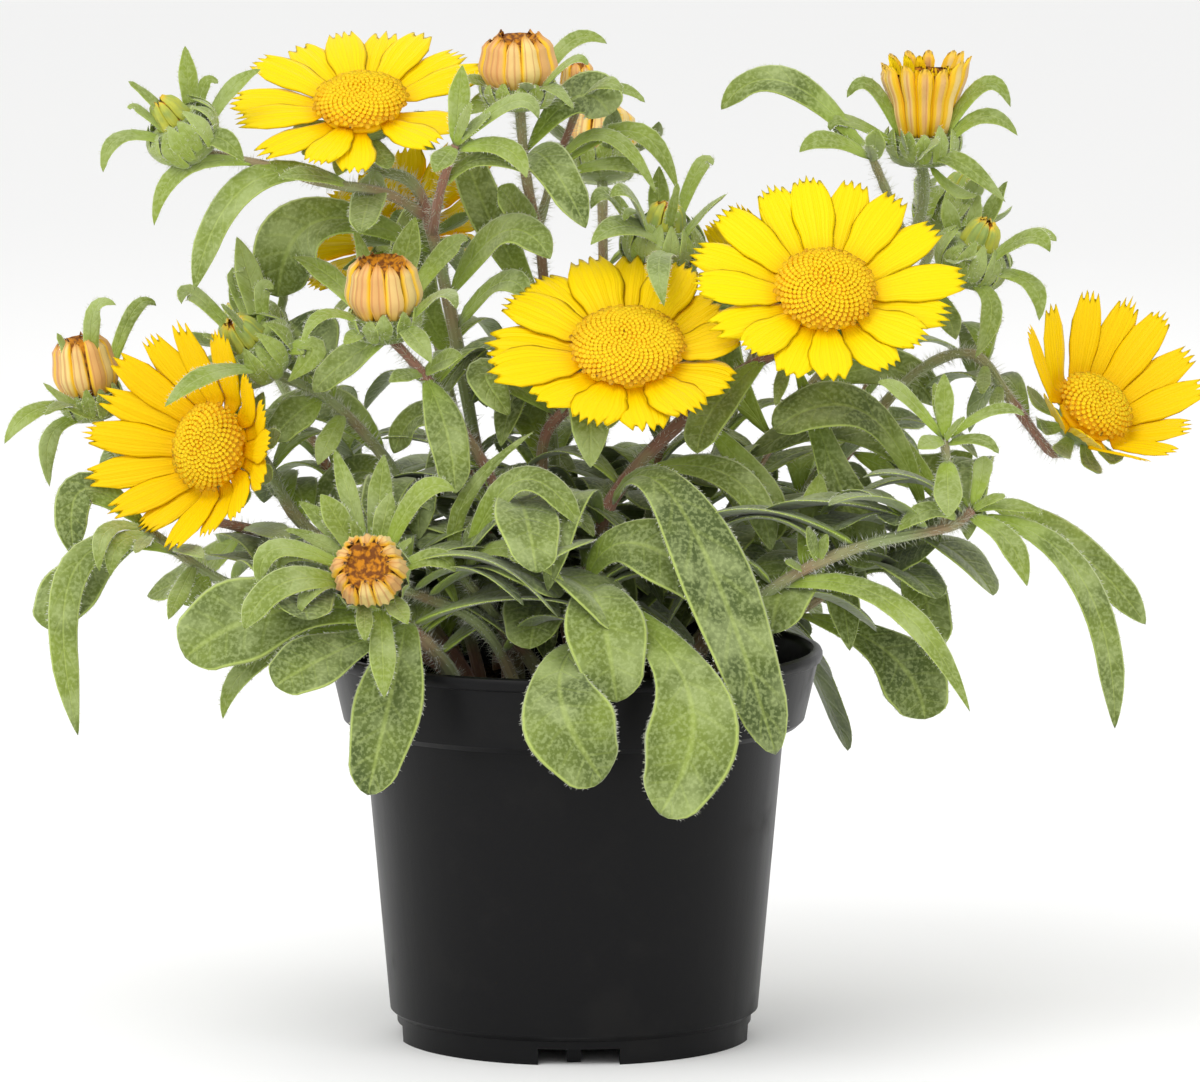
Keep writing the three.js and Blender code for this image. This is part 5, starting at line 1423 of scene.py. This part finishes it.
def moreLeaves(plant):
    leaves = []
    forms = innerLeaves["narrowForm"], innerLeaves["broadForm"]
    for stem in plant["stems"]:
        if not isinstance(stem["path"][0], Vector):
            continue
        spots, low = [[spot for spot in spotsOn(stem) if innerLeaves["lowest"] < spot.z < form["highest"]]
                      for form in forms]
        for index in range(min(innerLeaves["each"], len(spots) // 2)):
            broad = index < innerLeaves["broad"] and bool(low)
            form = forms[broad]
            for trial in range(innerLeaves["trials"]):
                root = chance.choice(low if broad else spots)
                heading = chance.uniform(0, turn)
                reach = chance.uniform(*form["reach"])
                out = Vector((math.cos(heading), math.sin(heading), 0))
                middle = root + out * (0.5 * reach) + upward * chance.uniform(5, 10)
                tip = root + out * reach + upward * chance.uniform(-9, 8)
                inside = abs(tip.x) < innerLeaves["side"]
                inside = inside and innerLeaves["front"] < tip.y < innerLeaves["back"]
                if inside and not any(map(hidesBloom, (middle, tip, middle.lerp(tip, 0.5)))):
                    leaves.append({"root": root, "middle": middle, "tip": tip,
                                   "width": chance.uniform(*form["width"]),
                                   "face": out * 0.4 + upward * 0.9})
                    break
    return leaves


makePlants()


# A ray's grid and thickness, its grooves, how deep the teeth are, the height of the two layers, how
# round its tip and its cross-section are, and how far it rolls, droops and sways
rayForm = {
    "cells": 28, "steps": 14, "thick": 0.16, "groove": 0.13, "teeth": (0.07, 0.13), "layers": (1.05, 2.1),
    "round": 0.05, "arch": 0.35, "roll": (-0.1, 0.1), "droop": (-1.0, 0.6), "sway": (-0.8, 0.8),
    "widths": [(0.2, 0), (0.37, 0.28), (0.51, 0.62), (0.5, 0.84), (0.38, 1.01)],
}


def makeRays(name, bloom):
    # the yellow rays: grooved blades with toothed tips, in a lower and an upper layer
    place = bloomPlace(bloom)
    shape = newShape()
    for index, (angle, length) in enumerate(raysOf(bloom)):
        lift = rayForm["layers"][index % 2]
        rootOut = 0.8 * bloom["disc"]
        teeth = chance.choice([3, 4, 5])
        depth = chance.uniform(*rayForm["teeth"])
        roll = chance.uniform(*rayForm["roll"])
        droop = chance.uniform(*rayForm["droop"])
        sway = chance.uniform(*rayForm["sway"])

        def point(around, along):
            side = (1 - abs(1 - 2 * around)) * 2 - 1
            upper = math.sin(around * turn)
            tooth = abs((side + 1) / 2 * teeth % 1 - 0.5) * 2
            end = length * (1.01 - depth * tooth - rayForm["round"] * abs(side) ** 3)
            out = rootOut + (end - rootOut) * along
            half = bloom["ray"] * stepped(rayForm["widths"], along)
            height = lift + rayHeight(bloom, out)
            height -= rayForm["arch"] * side * side * half / (0.5 * bloom["ray"])
            height += rayForm["groove"] * math.cos(3 * math.pi * side) * min(1, along * 4)
            height += roll * side * half * along + droop * along ** 3
            ends = min(1, along * 12, (1 - along) * 12)
            height += rayForm["thick"] * (1 if upper > 0 else -1) * min(1, 2.5 * abs(upper)) * ends
            return onBloom(place, angle, out, half * side + sway * along * along, height)

        tone = bloomGold[name] + chance.uniform(-0.08, 0.08)
        addSheet(shape, rayForm["cells"], rayForm["steps"], point, tone)
    addTurned(shape, place, [(0, 0.5), (0.84 * bloom["disc"], 0.6), (0.9 * bloom["disc"], 1.5),
                             (0.84 * bloom["disc"], 2.2), (0, 2.3)], 32, (16, 0.01), 0.8)
    addPiece(f"{name}_rays_grown", shape, f"{name}_rays", "rays", [raySkin])


# The florets' spacing, width and height, the disc's foot and dome with its flat and steep fall to
# the rim, and the depth and width of the dent in its middle
discForm = {"pitch": 1.02, "floret": 0.52, "tall": 1.25, "foot": 3, "dome": 3.2, "rim": 0.97,
            "fall": (0.2, 2.2), "dent": (0.5, 0.22)}


def floretUnit():
    # a five-sided floret with an open top
    shape = newShape()
    bmesh.ops.create_cone(shape, cap_ends=True, segments=5, radius1=0.62, radius2=1, depth=1,
                          matrix=Matrix.Translation((0, 0, 0.5)))
    lid = max(shape.faces, key=lambda face: face.calc_center_median().z)
    bmesh.ops.inset_region(shape, faces=[lid], thickness=0.42)
    for vert in lid.verts:
        vert.co.z -= 0.3
    return meshOf(shape, "floretUnit")


floretMesh = floretUnit()


def makeDisc(name, bloom):
    # the gold dome: florets set in spirals over it
    place = bloomPlace(bloom)
    base = discForm["foot"] + 1.2 * bloom["rise"]
    disc = bloom["disc"]
    flat, steep = discForm["fall"]
    depth, width = discForm["dent"]
    shape = newShape()

    def dome(share):
        dent = depth * math.exp(-(share / width) ** 2)
        return base + discForm["dome"] - flat * share ** 2 - steep * share ** 4 - dent

    steps = [(0, base), (0.92 * disc, base)]
    for step in range(13):
        share = discForm["rim"] * (1 - step / 12)
        steps.append((disc * share, dome(share) - 0.7))
    addTurned(shape, place, steps, 36, (9, 0.0), 0.75)
    count = int(math.pi * disc * disc / discForm["pitch"] ** 2 / 0.866)
    spots = []
    for floret in range(count):
        share = math.sqrt((floret + 0.5) / count)
        angle = floret * goldenTurn
        slope = -(2 * flat * share + 4 * steep * share ** 3) / disc
        centre = onBloom(place, angle, disc * share * discForm["rim"], 0, dome(share) - 0.75)
        out = onBloom(place, angle, 1, 0, 0) - place["origin"]
        facing = (place["facing"] - out * slope).normalized()
        right = facing.orthogonal().normalized()
        right.rotate(Matrix.Rotation(chance.uniform(0, turn), 3, facing))
        size = discForm["floret"] * (0.78 + 0.3 * share) * chance.uniform(0.9, 1.1)
        tall = discForm["tall"] * chance.uniform(0.85, 1.15) * (0.75 + 0.25 * share)
        tone = min(1, max(0, 1.3 * share ** 4 - 0.3 + chance.uniform(-0.2, 0.2)))
        spots.append((centre, right * size, facing.cross(right) * size, facing * tall, tone))
    addCopies(shape, floretMesh, spots)
    addPiece(f"{name}_disc_grown", shape, f"{name}_disc", "discs", [floretSkin])


for name, bloom in blooms.items():
    makeRays(name, bloom)
    makeDisc(name, bloom)
print("flowers made")


# How far out and how high the petals stand in steps, how many there are in a ring and how many rings,
# how deep the mouth is sunk, how broad and how ridged a petal is, and how far the tips close in
folded = [(0.75, 0), (1, 0.3), (0.92, 0.75), (0.72, 0.92), (0.05, 1)]
budForms = {
    "tight": {"steps": [(0.46, 0), (0.38, 0.5), (0.22, 1)], "petals": 9, "rings": 1, "sunk": 0.6,
              "broad": 1.16, "ridge": 0.09, "closing": 0.5, "widths": folded, "coreEnd": -1,
              "slot": "green_buds", "skin": greenPetal},
    "cone": {"steps": [(0.76, 0), (0.98, 0.35), (0.86, 0.72), (0.64, 1)], "petals": 12, "rings": 1,
             "sunk": 0.74, "broad": 1.16, "ridge": 0.09, "closing": 0.5, "widths": folded,
             "coreEnd": -1, "slot": "pale_buds", "skin": palePetal},
    "flare": {"steps": [(0.6, 0), (0.78, 0.4), (1.04, 0.8), (1.24, 1)], "petals": 13, "rings": 2,
              "sunk": 0.35, "broad": 0.92, "ridge": 0.15, "closing": 0,
              "widths": [(0.9, 0), (1, 0.3), (1.0, 0.7), (0.86, 0.92), (0.5, 1)],
              "coreEnd": -3, "slot": "pale_buds", "skin": quillPetal},
}
budPetal = {"sink": 0.7, "cells": 16, "steps": 12, "thick": 0.16, "smallCount": 8, "smallRadius": 5}


def makeBudPetals(name, bud):
    # folded petals round a sunk mouth; the opening bud has a second ring of yellow rays inside
    place = budPlace(bud)
    form = budForms[bud["form"]]
    radius = bud["radius"]
    start = place["length"] * bud["cup"] - budPetal["sink"]
    tall = place["length"] - start
    count = form["petals"] if radius > budPetal["smallRadius"] else budPetal["smallCount"]
    shape = newShape()
    for petal in range(count * form["rings"]):
        second = petal >= count
        angle = (petal + 0.5 * second + chance.uniform(-0.12, 0.12)) / count * turn
        inward = (0.93 if petal % 2 else 0.99) * (0.8 if second else 1)
        reach = chance.uniform(0.86, 1.04) - 0.08 * second

        def point(around, along):
            side = -math.cos(around * turn)
            upper = math.sin(around * turn)
            height = along * reach
            out = stepped(form["steps"], min(height, 1)) * radius
            out -= max(height - 0.8, 0) * form["closing"] * radius
            ridge = (1 - side * side) * form["ridge"] + 0.04 * math.cos(3 * math.pi * side)
            out = out * inward + ridge * radius * (0.6 if along > 0.85 else 1)
            ends = min(1, along * 10, (1 - along) * 10)
            out += budPetal["thick"] * (1 if upper > 0 else -1) * min(1, 3 * abs(upper)) * ends
            lean = side * form["broad"] * math.pi / count * stepped(form["widths"], along)
            return onBloom(place, angle + lean, out, 0, start + tall * height * (1 - 0.04 * side * side))

        addSheet(shape, budPetal["cells"], budPetal["steps"], point, chance.random(), 2 * second)
    core = [(0.86 * share * radius, start + tall * height) for share, height in form["steps"]]
    core = smoothSteps(core, 3)
    inside = [(core[-1][0] * 0.6, start + tall * (form["sunk"] + 0.05)), (0, start + tall * form["sunk"])]
    addTurned(shape, place, [(0, start)] + core[:form["coreEnd"]] + inside, 24, (12, 0.04), 0.5, 1)
    addPiece(f"{name}_petals_grown", shape, f"{name}_petals", form["slot"],
             [form["skin"], mouthSkin, raySkin])


for name, bud in buds.items():
    makeBudPetals(name, bud)
print("buds made")


# A plain pale floor, soft light from above and in front, and the photograph's view
studio = {
    "floor": (0.93, 0.93, 0.925, 1), "world": 0.95, "aim": (0, 0, 0.12),
    "lamps": {  # place, size and power
        "key": [(-0.5, -0.9, 1.3), 1.0, 10], "left": [(-1.2, -0.2, 0.5), 0.8, 1.6],
        "right": [(1.1, -0.7, 0.6), 0.8, 1.6], "back": [(0.3, 1.2, 1.0), 0.8, 1.6],
    },
}


def makeStage():
    shape = bmesh.new()
    bmesh.ops.create_grid(shape, x_segments=1, y_segments=1, size=6)
    floor = link(bpy.data.objects.new("floor", meshOf(shape, "floor")))
    finish, tree, shader = startFinish("paleFloor", 0.9)
    shader.inputs["Base Color"].default_value = studio["floor"]
    floor.data.materials.append(finish)
    world = bpy.data.worlds.new("paleRoom")
    world.use_nodes = True
    world.node_tree.nodes["Background"].inputs["Color"].default_value = (1, 1, 1, 1)
    world.node_tree.nodes["Background"].inputs["Strength"].default_value = studio["world"]
    bpy.context.scene.world = world
    for name, (place, size, power) in studio["lamps"].items():
        light = bpy.data.lights.new(name, "AREA")
        light.size = size
        light.energy = power
        lamp = link(bpy.data.objects.new(name, light))
        lamp.location = place
        lamp.rotation_euler = (Vector(studio["aim"]) - Vector(place)).to_track_quat("-Z", "Y").to_euler()
    bpy.context.scene.view_settings.view_transform = "Standard"


def makeCamera():
    lens = bpy.data.cameras.new("view")
    lens.lens = view["lens"]
    lens.sensor_width = view["sensor"]
    camera = link(bpy.data.objects.new("view", lens))
    camera.location = eye * mm
    camera.rotation_euler = (turn / 4 - sheet["tilt"], 0, 0)
    bpy.context.scene.camera = camera


makeStage()
makeCamera()
print("stage and camera made")
